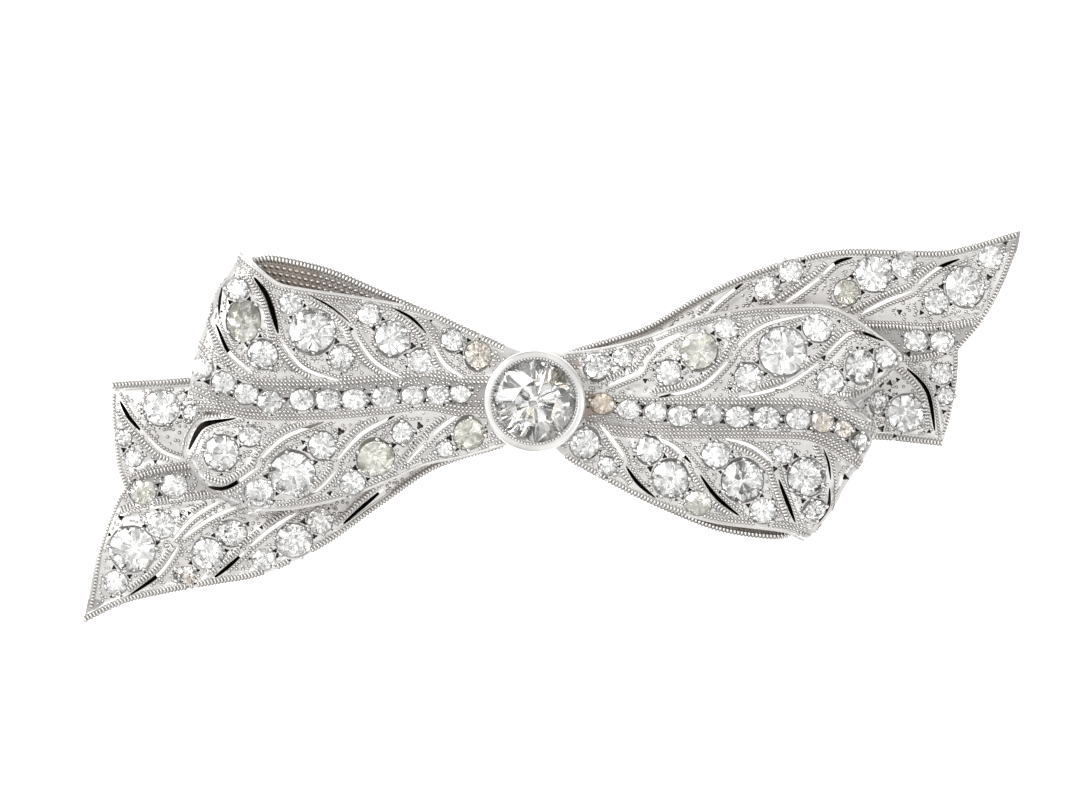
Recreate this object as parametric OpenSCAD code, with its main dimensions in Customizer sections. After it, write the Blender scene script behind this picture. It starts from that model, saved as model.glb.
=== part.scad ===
// A diamond-set ribbon bow brooch in its real size, in millimetres.
// It lies on its back: X runs along the bow, Y across it, and Z = 0 is the surface under it.
// The origin is the middle of the bow's outline, on that surface.

/* [Ribbon] */
// Length of the bow from tail tip to tail tip
bow_length = 62; // [61:0.5:68]
// Thickness of the ribbon metal
sheet_t = 0.8; // [0.7:0.05:0.9]
// Width of the raised rib along the middle of each ribbon
rib_w = 2.6; // [2:0.1:3]
// Height of the rib above the ribbon
rib_h = 0.2; // [0.1:0.05:0.3]
// Widest part of each saw-pierced slot
slot_w = 0.28; // [0.2:0.01:0.4]

/* [Centre setting] */
// Outer diameter of the collet
collet_d = 6.7; // [6.5:0.1:7]
// Height of the collet above the knot
collet_h = 2.3; // [2.2:0.1:2.6]
// Diameter of the centre stone at its girdle
stone_d = 5.56; // [5.4:0.02:5.6]
// Gap between pieces that are fitted and not soldered
fit_gap = 0.05; // [0.03:0.01:0.1]

/* [Pin fitting] */
// Distance from the hinge to the catch
pin_span = 32; // [30:0.5:33]
// Diameter of the pin stem
pin_d = 0.9; // [0.8:0.05:1]
// Width of the hinge and of the catch, across the bow
foot_w = 3.4; // [3:0.1:3.6]
// Height of the hinge and of the catch
foot_h = 2.4; // [2.2:0.05:2.45]

/* [Hidden] */

// The section tables are laid out for a bow of this length.
table_length = 62;
plan_scale = bow_length / table_length;

// Centre of the knot, the collet and the stone
knot_x = -1.15;
knot_y = 1.7;

// Each ribbon is a table of sections from the knot outwards. A section runs from edge a, on the
// right-hand side of someone walking outwards, to edge b:
// [a_x, a_y, a_z, b_x, b_y, b_z, end_share, flute]
// end_share is how much of the ribbon's end shape the section takes, and flute is the height of
// the two soft waves across it.
left_loop_sections = [
    [ -2.1,  5.0, 5.8,  -2.1, -0.7, 5.8, 0.00, 0.2],
    [ -3.4,  5.5, 6.0,  -3.4, -1.3, 6.0, 0.00, 0.3],
    [ -5.4,  6.4, 6.3,  -6.2, -2.1, 6.3, 0.00, 0.4],
    [ -8.2,  7.7, 6.6,  -8.5, -2.6, 6.6, 0.00, 0.5],
    [-10.7,  8.3, 6.9, -11.0, -3.7, 6.9, 0.00, 0.6],
    [-13.7,  8.8, 7.0, -13.8, -4.8, 7.0, 0.05, 0.7],
    [-16.4,  9.2, 7.0, -16.5, -5.4, 6.9, 0.30, 0.7],
    [-18.0,  9.6, 6.9, -18.0, -5.5, 6.8, 0.70, 0.6],
    [-19.6, 10.9, 6.7, -19.1, -5.5, 6.6, 0.97, 0.3],
    [-20.1, 11.4, 5.9, -19.5, -5.5, 5.9, 1.00, 0.1],
    [-19.6, 11.3, 5.2, -19.1, -4.9, 5.2, 0.96, 0.0],
    [-18.0, 11.3, 5.0, -19.4, -0.9, 5.0, 0.50, 0.0],
    [-14.7, 10.5, 5.0, -17.4,  5.9, 5.0, 0.05, 0.0],
    [-11.6,  9.2, 5.0, -13.2,  6.2, 5.0, 0.00, 0.0],
    [ -8.2,  7.7, 5.0,  -8.8,  5.7, 5.0, 0.00, 0.0],
    [ -3.4,  5.5, 5.1,  -4.1,  3.8, 5.1, 0.00, 0.0],
    [ -2.1,  4.1, 5.2,  -2.1,  2.8, 5.2, 0.00, 0.0],
];
right_loop_sections = [
    [ -0.2, -0.9, 5.8,  -0.2,  5.0, 5.8, 0.00, 0.2],
    [  1.2, -2.2, 6.0,   1.2,  5.0, 6.0, 0.00, 0.3],
    [  3.5, -3.5, 6.3,   3.9,  5.4, 6.3, 0.00, 0.4],
    [  5.8, -4.7, 6.6,   6.5,  6.1, 6.6, 0.00, 0.5],
    [  8.3, -5.7, 6.9,   9.1,  7.1, 6.9, 0.00, 0.6],
    [ 10.8, -6.4, 7.0,  12.1,  7.8, 7.0, 0.05, 0.7],
    [ 13.1, -6.7, 7.0,  15.4,  8.1, 7.0, 0.30, 0.7],
    [ 14.8, -6.9, 6.9,  18.7,  7.9, 6.9, 0.70, 0.6],
    [ 15.8, -7.1, 6.7,  22.1,  5.7, 6.7, 0.97, 0.3],
    [ 16.2, -7.2, 5.9,  22.8,  4.8, 5.9, 1.00, 0.1],
    [ 15.8, -7.2, 5.2,  22.1,  4.4, 5.2, 0.96, 0.0],
    [ 14.4, -7.4, 5.0,  18.5,  0.1, 5.0, 0.40, 0.0],
    [ 11.1, -6.9, 5.0,  14.1, -3.2, 5.0, 0.00, 0.0],
    [  8.1, -5.8, 5.0,   9.8, -3.0, 5.0, 0.00, 0.0],
    [  5.1, -4.4, 5.0,   6.1, -2.4, 5.0, 0.00, 0.0],
    [  2.2, -2.8, 5.1,   2.5, -1.0, 5.1, 0.00, 0.0],
    [ -0.2, -0.9, 5.2,  -0.2,  0.6, 5.2, 0.00, 0.0],
];
left_tail_sections = [
    [ -2.1,  3.6, 3.7,  -2.1,  -0.7, 3.7, 0.0, 0.1],
    [ -3.8,  3.3, 3.6,  -3.4,  -1.4, 3.6, 0.0, 0.1],
    [ -6.4,  3.0, 3.6,  -6.2,  -2.2, 3.5, 0.0, 0.2],
    [ -8.7,  2.9, 3.5,  -8.5,  -3.2, 3.4, 0.0, 0.2],
    [-11.7,  2.9, 3.4, -11.9,  -5.6, 3.2, 0.0, 0.3],
    [-15.0,  2.9, 3.3, -15.3,  -8.0, 2.9, 0.0, 0.3],
    [-18.6,  3.2, 3.1, -19.1,  -9.8, 2.5, 0.0, 0.3],
    [-22.2,  3.4, 2.8, -22.2, -10.4, 2.0, 0.0, 0.4],
    [-25.5,  3.2, 2.4, -25.5, -11.0, 1.5, 0.1, 0.4],
    [-27.6,  3.1, 2.1, -28.3, -11.7, 1.0, 0.5, 0.4],
    [-29.0,  3.0, 1.7, -31.0, -13.0, 0.4, 1.0, 0.4],
];
right_tail_sections = [
    [ -0.2, -0.2, 3.7,  -0.2,  4.4, 3.7, 0.0, 0.1],
    [  1.3, -0.1, 3.6,   1.3,  5.1, 3.6, 0.0, 0.1],
    [  4.0,  0.1, 3.6,   4.0,  5.9, 3.5, 0.0, 0.2],
    [  6.5, -0.4, 3.5,   6.5,  6.8, 3.4, 0.0, 0.2],
    [  9.2, -0.7, 3.4,   9.2,  8.4, 3.2, 0.0, 0.3],
    [ 12.0, -0.8, 3.3,  12.0,  9.8, 2.9, 0.0, 0.3],
    [ 15.4, -0.9, 3.1,  15.4, 11.0, 2.5, 0.0, 0.3],
    [ 18.9, -0.9, 2.8,  18.9, 11.7, 2.0, 0.0, 0.4],
    [ 21.6, -0.9, 2.4,  22.7, 11.7, 1.5, 0.1, 0.4],
    [ 23.8, -1.1, 2.1,  26.3, 11.7, 1.0, 0.5, 0.4],
    [ 25.7, -1.3, 1.7,  31.0, 13.0, 0.4, 1.0, 0.4],
];

// How far each ribbon's end stands out from the straight line between its corners:
// [share of the way from edge a to edge b, offset along X]
left_fold_shape = [
    [0.00,  0.00], [0.15, -1.65], [0.35, -3.00], [0.50, -3.65], [0.57, -3.30], [0.62, -2.60],
    [0.69, -3.90], [0.77, -4.30], [0.86, -3.60], [0.95, -1.70], [1.00,  0.00],
];
right_fold_shape = [
    [0.00,  0.00], [0.05,  0.50], [0.15,  0.80], [0.31,  0.90], [0.50,  1.10], [0.60,  0.70],
    [0.70, -1.20], [0.74, -1.60], [0.80, -1.00], [0.88, -0.30], [1.00,  0.00],
];
left_notch_shape = [
    [0.00,  0.00], [0.16,  0.32], [0.26,  0.68], [0.36,  1.10], [0.40,  1.45], [0.45,  1.88],
    [0.50,  1.40], [0.60,  0.85], [0.73,  0.32], [0.88,  0.12], [1.00,  0.00],
];
right_notch_shape = [
    [0.00,  0.00], [0.15, -0.20], [0.31, -0.60], [0.40, -1.00], [0.45, -1.30], [0.54, -0.60],
    [0.62, -0.20], [0.70,  0.04], [0.80,  0.26], [0.90,  0.33], [0.96,  0.18], [1.00,  0.00],
];

// The sections between which a loop turns over, where its mesh is twice as fine
turn_first = 7;
turn_last = 11;

// A ribbon: [its sections, its end shape, where its rib runs, the last section with a rib]
left_loop = [left_loop_sections, left_fold_shape, 0.50, 8];
right_loop = [right_loop_sections, right_fold_shape, 0.50, 8];
left_tail = [left_tail_sections, left_notch_shape, 0.49, 10];
right_tail = [right_tail_sections, right_notch_shape, 0.52, 10];

// The saw-pierced slots, each on a curve through three points: [x1, y1, x2, y2, x3, y3]
loop_slots = [
    [-19.6,  9.8, -18.7,  8.4, -18.0,  6.1],
    [-17.7,  5.5, -16.3,  4.0, -14.1,  3.2],
    [-21.4,  9.0, -21.6,  8.1, -21.7,  7.2],
    [-21.9,  6.7, -21.2,  5.0, -19.7,  3.7],
    [-16.1,  8.7, -14.6,  7.8, -13.3,  6.7],
    [-12.9,  5.8, -11.7,  4.4, -10.0,  3.4],
    [-10.6,  7.8,  -9.4,  7.1,  -8.4,  6.1],
    [ -7.9,  5.3,  -7.1,  4.2,  -5.9,  3.4],
    [-23.6, -1.5, -22.8, -0.1, -20.8,  0.5],
    [-22.4, -3.6, -21.3, -3.8, -19.4, -2.6],
    [-19.1, -2.0, -17.6, -0.8, -15.0,  0.2],
    [-16.8, -4.8, -15.4, -4.0, -14.3, -2.8],
    [-14.1, -2.0, -12.5, -0.5, -10.4,  0.6],
    [ -9.7, -2.3,  -9.1, -1.6,  -8.5, -1.0],
    [ -7.9, -0.4,  -7.2,  0.1,  -6.4,  0.6],
    [  3.8,  2.8,   4.9,  3.2,   5.9,  3.6],
    [  6.4,  4.4,   7.4,  5.3,   8.5,  6.0],
    [  7.1,  2.1,   9.8,  2.8,  11.6,  4.3],
    [ 12.3,  5.3,  14.1,  6.6,  16.6,  7.3],
    [ 12.2,  2.1,  15.2,  2.8,  17.5,  4.2],
    [ 18.1,  4.8,  19.8,  6.2,  21.8,  5.7],
    [  3.2,  0.0,   4.0, -0.9,   4.8, -1.9],
    [  5.0, -2.5,   5.8, -3.6,   6.9, -4.6],
    [  6.1, -0.6,   7.9, -1.3,   9.2, -2.4],
    [  9.8, -3.1,  10.9, -4.5,  12.4, -5.8],
    [ 11.4, -0.9,  13.1, -1.4,  14.5, -2.4],
    [ 14.9, -3.4,  15.5, -4.9,  16.0, -6.2],
    [ 17.8, -1.5,  18.1, -2.4,  18.2, -3.4],
    [ 18.1, -3.9,  17.9, -5.0,  17.2, -6.1],
];
tail_slots = [
    [-28.4,  1.7, -27.8,  0.6, -27.0, -0.3],
    [-26.6, -0.7, -25.7, -1.5, -24.5, -2.0],
    [-27.9, -11.1, -25.9, -9.6, -24.7, -7.9],
    [-25.0, -7.5, -23.7, -6.1, -22.0, -5.0],
    [-24.2, -7.2, -22.5, -6.1, -20.7, -5.3],
    [-22.4, -10.0, -21.4, -9.2, -20.3, -8.2],
    [-19.9, -7.8, -18.5, -6.7, -16.9, -5.7],
    [-13.9, -6.4, -12.7, -5.3, -11.2, -4.0],
    [ 10.2,  7.4,  11.4,  8.5,  12.6,  9.4],
    [ 15.4,  8.2,  16.5,  8.9,  17.6,  9.7],
    [ 17.9, 10.0,  18.8, 10.8,  19.8, 11.1],
    [ 20.3,  7.5,  22.0,  8.3,  23.7,  8.9],
    [ 24.2,  9.4,  25.5, 10.4,  26.9, 11.0],
    [ 23.3,  3.8,  24.7,  2.3,  25.2, -0.2],
];

// Openwork behind each loop, where the tail passes under it: [x, y] of each corner
left_window = [
    [-19.9,  0.5], [-17.8,  0.3], [-16.0,  0.0], [-14.4,  0.3], [-13.0,  0.9],
    [ -6.2,  0.9], [ -5.7,  0.1], [ -6.6, -0.9], [ -9.2, -2.2], [-11.0, -3.0],
    [-14.0, -4.0], [-16.6, -4.5], [-19.0, -4.6], [-21.3, -3.9], [-21.4, -2.6],
];
right_window = [
    [19.9, 4.3], [18.6, 2.9], [15.8, 2.2], [12.0, 1.7], [ 9.5, 1.9],
    [ 6.4, 2.2], [ 3.9, 2.2], [ 3.4, 3.0],
    [ 4.6, 4.3], [ 6.6, 5.4], [ 8.8, 6.3], [12.0, 7.0], [15.0, 7.5],
    [18.0, 7.2], [20.0, 6.2], [20.6, 5.2],
];
// Openings in the left loop's back, beside its fold: [x, y] of each corner
upper_back_window = [
    [-21.6, 5.6], [-20.9, 5.7], [-19.2, 4.2], [-18.6, 3.2], [-20.3, 3.2], [-21.3, 4.4],
];
lower_back_window = [
    [-21.3, -3.0], [-21.2, -4.1], [-19.2, -3.9], [-18.2, -2.9], [-18.8, -1.8], [-20.2, -2.3],
];

// Heights that keep the cuts of one layer out of the next
loop_cut_z = 5.75;
tail_cut_z = 4.35;
top_z = 12;

// The knot is an open tube that joins the ribbons under the collet.
knot_r = 2.9;
knot_bore_r = 1.7;
knot_bottom_z = 3.1;
knot_top_z = 6.4;

// Hidden pegs between each loop and the tail under it: [x, y]
pegs = [[-20.6, 2.2], [19.6, 1.4]];
peg_r = 0.45;
peg_bottom_z = 3;
peg_top_z = 5;

// Steps across each half of a ribbon, beside its rib
side_lanes = 4;
// Share of a narrow section that its rib may take, and the width of the rib's edge
rib_share = 0.19;
rib_edge = 0.12;
// Step of the finite differences that give a ribbon's direction
small_step = 0.02;

// Catmull-Rom curve from b to c, at u from 0 to 1
function spline(a, b, c, d, u) =
    b + (c - a) * u / 2
    + (2 * a - 5 * b + 4 * c - d) * u * u / 2
    + (3 * b - a - 3 * c + d) * u * u * u / 2;

// A ribbon's section at any place s between its rows
function section_at(rows, s) =
    let (last = len(rows) - 1, i = min(floor(s), last - 1))
    spline(rows[max(i - 1, 0)], rows[i], rows[i + 1], rows[min(i + 2, last)], s - i);

// A point on the middle of the ribbon's metal, at s along it and t across it
function ribbon_point(ribbon, s, t) =
    let (
        r = section_at(ribbon[0], s),
        x = r[0] + (r[3] - r[0]) * t + r[6] * lookup(t, ribbon[1]),
        y = r[1] + (r[4] - r[1]) * t,
        z = r[2] + (r[5] - r[2]) * t + r[7] * (1 - cos(720 * t)) / 2
    )
    [x * plan_scale, y * plan_scale, z];

// The ribbon's outward direction there, which turns right over at the fold
function ribbon_normal(ribbon, s, t) =
    let (
        s_end = len(ribbon[0]) - 1,
        along = ribbon_point(ribbon, min(s + small_step, s_end), t)
            - ribbon_point(ribbon, max(s - small_step, 0), t),
        across = ribbon_point(ribbon, s, min(t + small_step, 1))
            - ribbon_point(ribbon, s, max(t - small_step, 0)),
        n = cross(along, across)
    )
    n / norm(n);

// Where the mesh lines run across a section: [share from edge a to edge b, height of relief]
function lanes(ribbon, s) =
    let (
        r = section_at(ribbon[0], s),
        width = norm([r[3] - r[0], r[4] - r[1]]),
        half = min(rib_w / 2 / width, rib_share),
        first = ribbon[2] - half,
        last = ribbon[2] + half,
        edge = rib_edge / width,
        raised = s <= ribbon[3] ? rib_h : 0
    )
    [
        for (k = [0 : side_lanes]) [first * k / side_lanes, 0],
        [first + edge, raised],
        [ribbon[2], raised],
        [last - edge, raised],
        for (k = [0 : side_lanes]) [last + (1 - last) * k / side_lanes, 0],
    ];

// The places along a ribbon where its mesh has a row of corners
function stations_of(ribbon) = [
    for (i = [0 : len(ribbon[0]) - 1])
    each i >= turn_first && i < turn_last && ribbon[3] < len(ribbon[0]) - 1
        ? [i, i + 0.5]
        : [i],
];

// One ribbon as a closed sheet of metal, with its rib
module ribbon_sheet(ribbon) {
    places = stations_of(ribbon);
    stations = len(places) - 1;
    across = 2 * side_lanes + 4;
    columns = across + 1;
    layer = (stations + 1) * columns;
    function upper(i, j) = i * columns + j;
    function lower(i, j) = layer + i * columns + j;
    outer = [
        for (s = places)
        for (lane = lanes(ribbon, s))
        ribbon_point(ribbon, s, lane[0])
            + ribbon_normal(ribbon, s, lane[0]) * (sheet_t / 2 + lane[1])
    ];
    inner = [
        for (s = places)
        for (lane = lanes(ribbon, s))
        ribbon_point(ribbon, s, lane[0]) - ribbon_normal(ribbon, s, lane[0]) * sheet_t / 2
    ];
    faces = [
        for (i = [0 : stations - 1])
        for (j = [0 : across - 1])
        each [
            [upper(i, j), upper(i + 1, j + 1), upper(i + 1, j)],
            [upper(i, j), upper(i, j + 1), upper(i + 1, j + 1)],
            [lower(i, j), lower(i + 1, j), lower(i + 1, j + 1)],
            [lower(i, j), lower(i + 1, j + 1), lower(i, j + 1)],
        ],
        for (i = [0 : stations - 1])
        each [
            [upper(i, 0), upper(i + 1, 0), lower(i + 1, 0)],
            [upper(i, 0), lower(i + 1, 0), lower(i, 0)],
            [upper(i, across), lower(i + 1, across), upper(i + 1, across)],
            [upper(i, across), lower(i, across), lower(i + 1, across)],
        ],
        for (j = [0 : across - 1])
        each [
            [upper(0, j), lower(0, j + 1), upper(0, j + 1)],
            [upper(0, j), lower(0, j), lower(0, j + 1)],
            [upper(stations, j), upper(stations, j + 1), lower(stations, j + 1)],
            [upper(stations, j), lower(stations, j + 1), lower(stations, j)],
        ],
    ];
    polyhedron(concat(outer, inner), faces);
}

// The space that one slot takes up, pointed at both ends, between two heights
module slot(row, low_z, high_z) {
    tip_w = slot_w / 3;
    points = [
        [row[0], row[1], tip_w],
        [row[2], row[3], slot_w],
        [row[4], row[5], tip_w],
    ];
    for (i = [0 : 1])
    hull()
    for (p = [points[i], points[i + 1]])
    translate([p[0] * plan_scale, p[1] * plan_scale, low_z])
    cylinder(h = high_z - low_z, d = p[2], $fn = 8);
}

// The space that an opening takes up, between two heights
module window(corners, low_z, high_z) {
    translate([0, 0, low_z])
    linear_extrude(height = high_z - low_z)
    polygon([for (c = corners) c * plan_scale]);
}

module at_knot(z = 0) {
    translate([knot_x * plan_scale, knot_y * plan_scale, z])
    children();
}

module loops() {
    difference() {
        union() {
            ribbon_sheet(left_loop);
            ribbon_sheet(right_loop);
        }
        for (row = loop_slots)
        slot(row, loop_cut_z, top_z);
        window(upper_back_window, tail_cut_z, loop_cut_z);
        window(lower_back_window, tail_cut_z, loop_cut_z);
    }
}

module tails() {
    difference() {
        union() {
            ribbon_sheet(left_tail);
            ribbon_sheet(right_tail);
        }
        for (row = tail_slots)
        slot(row, -1, tail_cut_z);
        window(left_window, -1, tail_cut_z);
        window(right_window, -1, tail_cut_z);
    }
}

module knot() {
    at_knot(knot_bottom_z)
    cylinder(h = knot_top_z - knot_bottom_z, r = knot_r, $fn = 48);
}

// Both loops, both tails and the knot, soldered into one piece
module ribbon_bow() {
    color("gainsboro")
    difference() {
        union() {
            loops();
            tails();
            knot();
            for (p = pegs)
            translate([p[0] * plan_scale, p[1] * plan_scale, peg_bottom_z])
            cylinder(h = peg_top_z - peg_bottom_z, r = peg_r, $fn = 16);
        }
        at_knot(-1)
        cylinder(h = top_z + 1, r = knot_bore_r, $fn = 48);
        at_knot(knot_top_z)
        cylinder(h = top_z - knot_top_z, r = collet_d / 2 + fit_gap, $fn = 48);
    }
}

// Heights and radii inside the setting, from the knot up
collet_z = knot_top_z + fit_gap;
collet_r = collet_d / 2;
rim_z = collet_z + collet_h;
girdle_r = stone_d / 2;
girdle_z = rim_z - 0.4;
girdle_t = 0.08;
lip_r = girdle_r - 0.12;
seat_r = girdle_r + fit_gap;

// The plain rubbed-over collet, a ring turned about the stone's axis
module centre_collet() {
    color("silver")
    at_knot()
    rotate_extrude($fn = 96)
    polygon([
        [girdle_r - 0.62, collet_z],
        [collet_r - 0.12, collet_z],
        [collet_r, collet_z + 0.5],
        [collet_r, rim_z - 0.5],
        [collet_r - 0.1, rim_z - 0.2],
        [collet_r - 0.28, rim_z - 0.04],
        [collet_r - 0.42, rim_z],
        [lip_r + 0.06, rim_z - 0.02],
        [lip_r, rim_z - 0.12],
        [seat_r, girdle_z + girdle_t],
        [seat_r, girdle_z - girdle_t],
        [girdle_r - 0.62, girdle_z - 0.75],
    ]);
}

// Rings of corners of the stone's facets, from the table down:
// [share of the girdle's radius, height above the girdle, corners, turn in degrees]
crown_h = 0.85;
pavilion_h = 2.6;
stone_rings = [
    [0.50,  crown_h,             8,  0.0],
    [0.77,  crown_h * 0.62,      8, 22.5],
    [1.00,  girdle_t / 2,       16,  0.0],
    [1.00, -girdle_t / 2,       16,  0.0],
    [0.36, -pavilion_h * 0.70,   8, 22.5],
    [0.07, -pavilion_h,          8,  0.0],
];

// The old-cut centre stone, with its small open culet
module centre_stone() {
    color("aliceblue")
    at_knot(girdle_z)
    hull()
    for (ring = stone_rings)
    rotate([0, 0, ring[3]])
    translate([0, 0, ring[1] - 0.01])
    cylinder(h = 0.01, r = girdle_r * ring[0], $fn = ring[2]);
}

// The pin runs under the ribs, so it lies a little askew.
pin_left_y = 1.6;
pin_right_y = 0.8;
pin_turn = atan((pin_right_y - pin_left_y) / pin_span);
pin_mid_y = (pin_left_y + pin_right_y) / 2;
pin_z = 1.2;
foot_l = 2.6;
stem_past_catch = 1.6;

module hinge() {
    translate([pin_span / 2, 0, foot_h / 2])
    cube([foot_l, foot_w, foot_h], center = true);
    translate([pin_span / 2 - foot_l / 2, 0, pin_z])
    rotate([90, 0, 0])
    cylinder(h = foot_w / 3, r = pin_d, center = true, $fn = 48);
}

// A C-shaped hook with a flat foot, open on one side, with the stem's end sunk in its floor
module catch() {
    hook_r = pin_d / 2 + 0.1;
    hook_z = pin_z - 0.2 + hook_r;
    translate([-pin_span / 2, 0, 0])
    difference() {
        translate([0, 0, foot_h / 2])
        cube([foot_l * 0.8, foot_w, foot_h], center = true);
        translate([0, 0, hook_z])
        rotate([0, 90, 0])
        cylinder(h = foot_l, r = hook_r, center = true, $fn = 48);
        translate([-foot_l / 2, -foot_w, hook_z])
        cube([foot_l, foot_w, hook_r]);
    }
}

module stem() {
    length = pin_span + stem_past_catch - foot_l / 2;
    point_l = 3;
    translate([pin_span / 2 - foot_l / 2, 0, pin_z - 0.1])
    rotate([0, -90, 0]) {
        cylinder(h = length - point_l, d = pin_d, $fn = 48);
        translate([0, 0, length - point_l])
        cylinder(h = point_l, d1 = pin_d, d2 = pin_d / 4, $fn = 48);
    }
}

// Hinge, stem and catch as one plain piece under the bow
module pin_fitting() {
    color("lightgray")
    translate([0, pin_mid_y * plan_scale, 0])
    rotate([0, 0, pin_turn]) {
        hinge();
        catch();
        stem();
    }
}

ribbon_bow();
centre_collet();
centre_stone();
pin_fitting();
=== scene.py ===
"""Looks of the ribbon bow brooch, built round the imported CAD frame.

Lengths are in millimetres until a mesh is made. A ribbon is a surface: s runs along it from the knot
and t across it, from edge a to edge b, as in part.scad. Its unrolled form has x along the rib and y
across it.
"""

import math
from collections import namedtuple
from itertools import combinations, product

import bpy
import numpy as np
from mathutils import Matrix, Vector, geometry, kdtree


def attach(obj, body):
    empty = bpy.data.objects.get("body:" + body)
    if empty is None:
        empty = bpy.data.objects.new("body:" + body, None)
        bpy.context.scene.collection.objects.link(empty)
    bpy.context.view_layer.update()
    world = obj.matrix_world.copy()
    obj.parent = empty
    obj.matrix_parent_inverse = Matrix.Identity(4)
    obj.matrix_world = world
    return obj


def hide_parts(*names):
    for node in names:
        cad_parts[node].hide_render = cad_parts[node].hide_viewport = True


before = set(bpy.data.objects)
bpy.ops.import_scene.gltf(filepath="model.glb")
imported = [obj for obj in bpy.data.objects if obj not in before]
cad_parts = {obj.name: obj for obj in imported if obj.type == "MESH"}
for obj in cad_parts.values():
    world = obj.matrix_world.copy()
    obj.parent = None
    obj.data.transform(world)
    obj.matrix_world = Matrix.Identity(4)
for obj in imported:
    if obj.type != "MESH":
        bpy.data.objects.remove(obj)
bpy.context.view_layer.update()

MM = 0.001
BODY = "root"
X_AXIS, Y_AXIS, Z_AXIS = np.eye(3)
# Further away than anything
FAR = 99.0
rng = np.random.default_rng(1910)

# Sizes of the CAD model
SHEET_T = 0.8
SLOT_W = 0.28
KNOT = np.array([-1.15, 1.7])
KNOT_R = 2.9
KNOT_BORE_R = 1.7
KNOT_CHAMFER = 0.1
KNOT_BOTTOM_Z = 3.1
KNOT_TOP_Z = 6.4
COLLET_R = 3.35
COLLET_Z = 6.45
COLLET_RIM_Z = 8.75
CENTRE_STONE_R = 2.78
GIRDLE_Z = 8.35
PEGS = [["left_peg", -20.6, 2.2], ["right_peg", 19.6, 1.4]]
PEG_R = 0.45
PEG_Z = [3.0, 5.0]

# The photograph: its size, the scale, and the pixel over the frame's origin
PHOTO_W, PHOTO_H = 1080, 810
MM_PER_PX = 0.066
ORIGIN_PX = np.array([552, 427])

# Sections of each ribbon: [a_x, a_y, a_z, b_x, b_y, b_z, end_share, flute]
LEFT_LOOP = [
    [-2.1, 5.0, 5.8, -2.1, -0.7, 5.8, 0.00, 0.2],
    [-3.4, 5.5, 6.0, -3.4, -1.3, 6.0, 0.00, 0.3],
    [-5.4, 6.4, 6.3, -6.2, -2.1, 6.3, 0.00, 0.4],
    [-8.2, 7.7, 6.6, -8.5, -2.6, 6.6, 0.00, 0.5],
    [-10.7, 8.3, 6.9, -11.0, -3.7, 6.9, 0.00, 0.6],
    [-13.7, 8.8, 7.0, -13.8, -4.8, 7.0, 0.05, 0.7],
    [-16.4, 9.2, 7.0, -16.5, -5.4, 6.9, 0.30, 0.7],
    [-18.0, 9.6, 6.9, -18.0, -5.5, 6.8, 0.70, 0.6],
    [-19.6, 10.9, 6.7, -19.1, -5.5, 6.6, 0.97, 0.3],
    [-20.1, 11.4, 5.9, -19.5, -5.5, 5.9, 1.00, 0.1],
    [-19.6, 11.3, 5.2, -19.1, -4.9, 5.2, 0.96, 0.0],
    [-18.0, 11.3, 5.0, -19.4, -0.9, 5.0, 0.50, 0.0],
    [-14.7, 10.5, 5.0, -17.4, 5.9, 5.0, 0.05, 0.0],
    [-11.6, 9.2, 5.0, -13.2, 6.2, 5.0, 0.00, 0.0],
    [-8.2, 7.7, 5.0, -8.8, 5.7, 5.0, 0.00, 0.0],
    [-3.4, 5.5, 5.1, -4.1, 3.8, 5.1, 0.00, 0.0],
    [-2.1, 4.1, 5.2, -2.1, 2.8, 5.2, 0.00, 0.0],
]
RIGHT_LOOP = [
    [-0.2, -0.9, 5.8, -0.2, 5.0, 5.8, 0.00, 0.2],
    [1.2, -2.2, 6.0, 1.2, 5.0, 6.0, 0.00, 0.3],
    [3.5, -3.5, 6.3, 3.9, 5.4, 6.3, 0.00, 0.4],
    [5.8, -4.7, 6.6, 6.5, 6.1, 6.6, 0.00, 0.5],
    [8.3, -5.7, 6.9, 9.1, 7.1, 6.9, 0.00, 0.6],
    [10.8, -6.4, 7.0, 12.1, 7.8, 7.0, 0.05, 0.7],
    [13.1, -6.7, 7.0, 15.4, 8.1, 7.0, 0.30, 0.7],
    [14.8, -6.9, 6.9, 18.7, 7.9, 6.9, 0.70, 0.6],
    [15.8, -7.1, 6.7, 22.1, 5.7, 6.7, 0.97, 0.3],
    [16.2, -7.2, 5.9, 22.8, 4.8, 5.9, 1.00, 0.1],
    [15.8, -7.2, 5.2, 22.1, 4.4, 5.2, 0.96, 0.0],
    [14.4, -7.4, 5.0, 18.5, 0.1, 5.0, 0.40, 0.0],
    [11.1, -6.9, 5.0, 14.1, -3.2, 5.0, 0.00, 0.0],
    [8.1, -5.8, 5.0, 9.8, -3.0, 5.0, 0.00, 0.0],
    [5.1, -4.4, 5.0, 6.1, -2.4, 5.0, 0.00, 0.0],
    [2.2, -2.8, 5.1, 2.5, -1.0, 5.1, 0.00, 0.0],
    [-0.2, -0.9, 5.2, -0.2, 0.6, 5.2, 0.00, 0.0],
]
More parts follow.
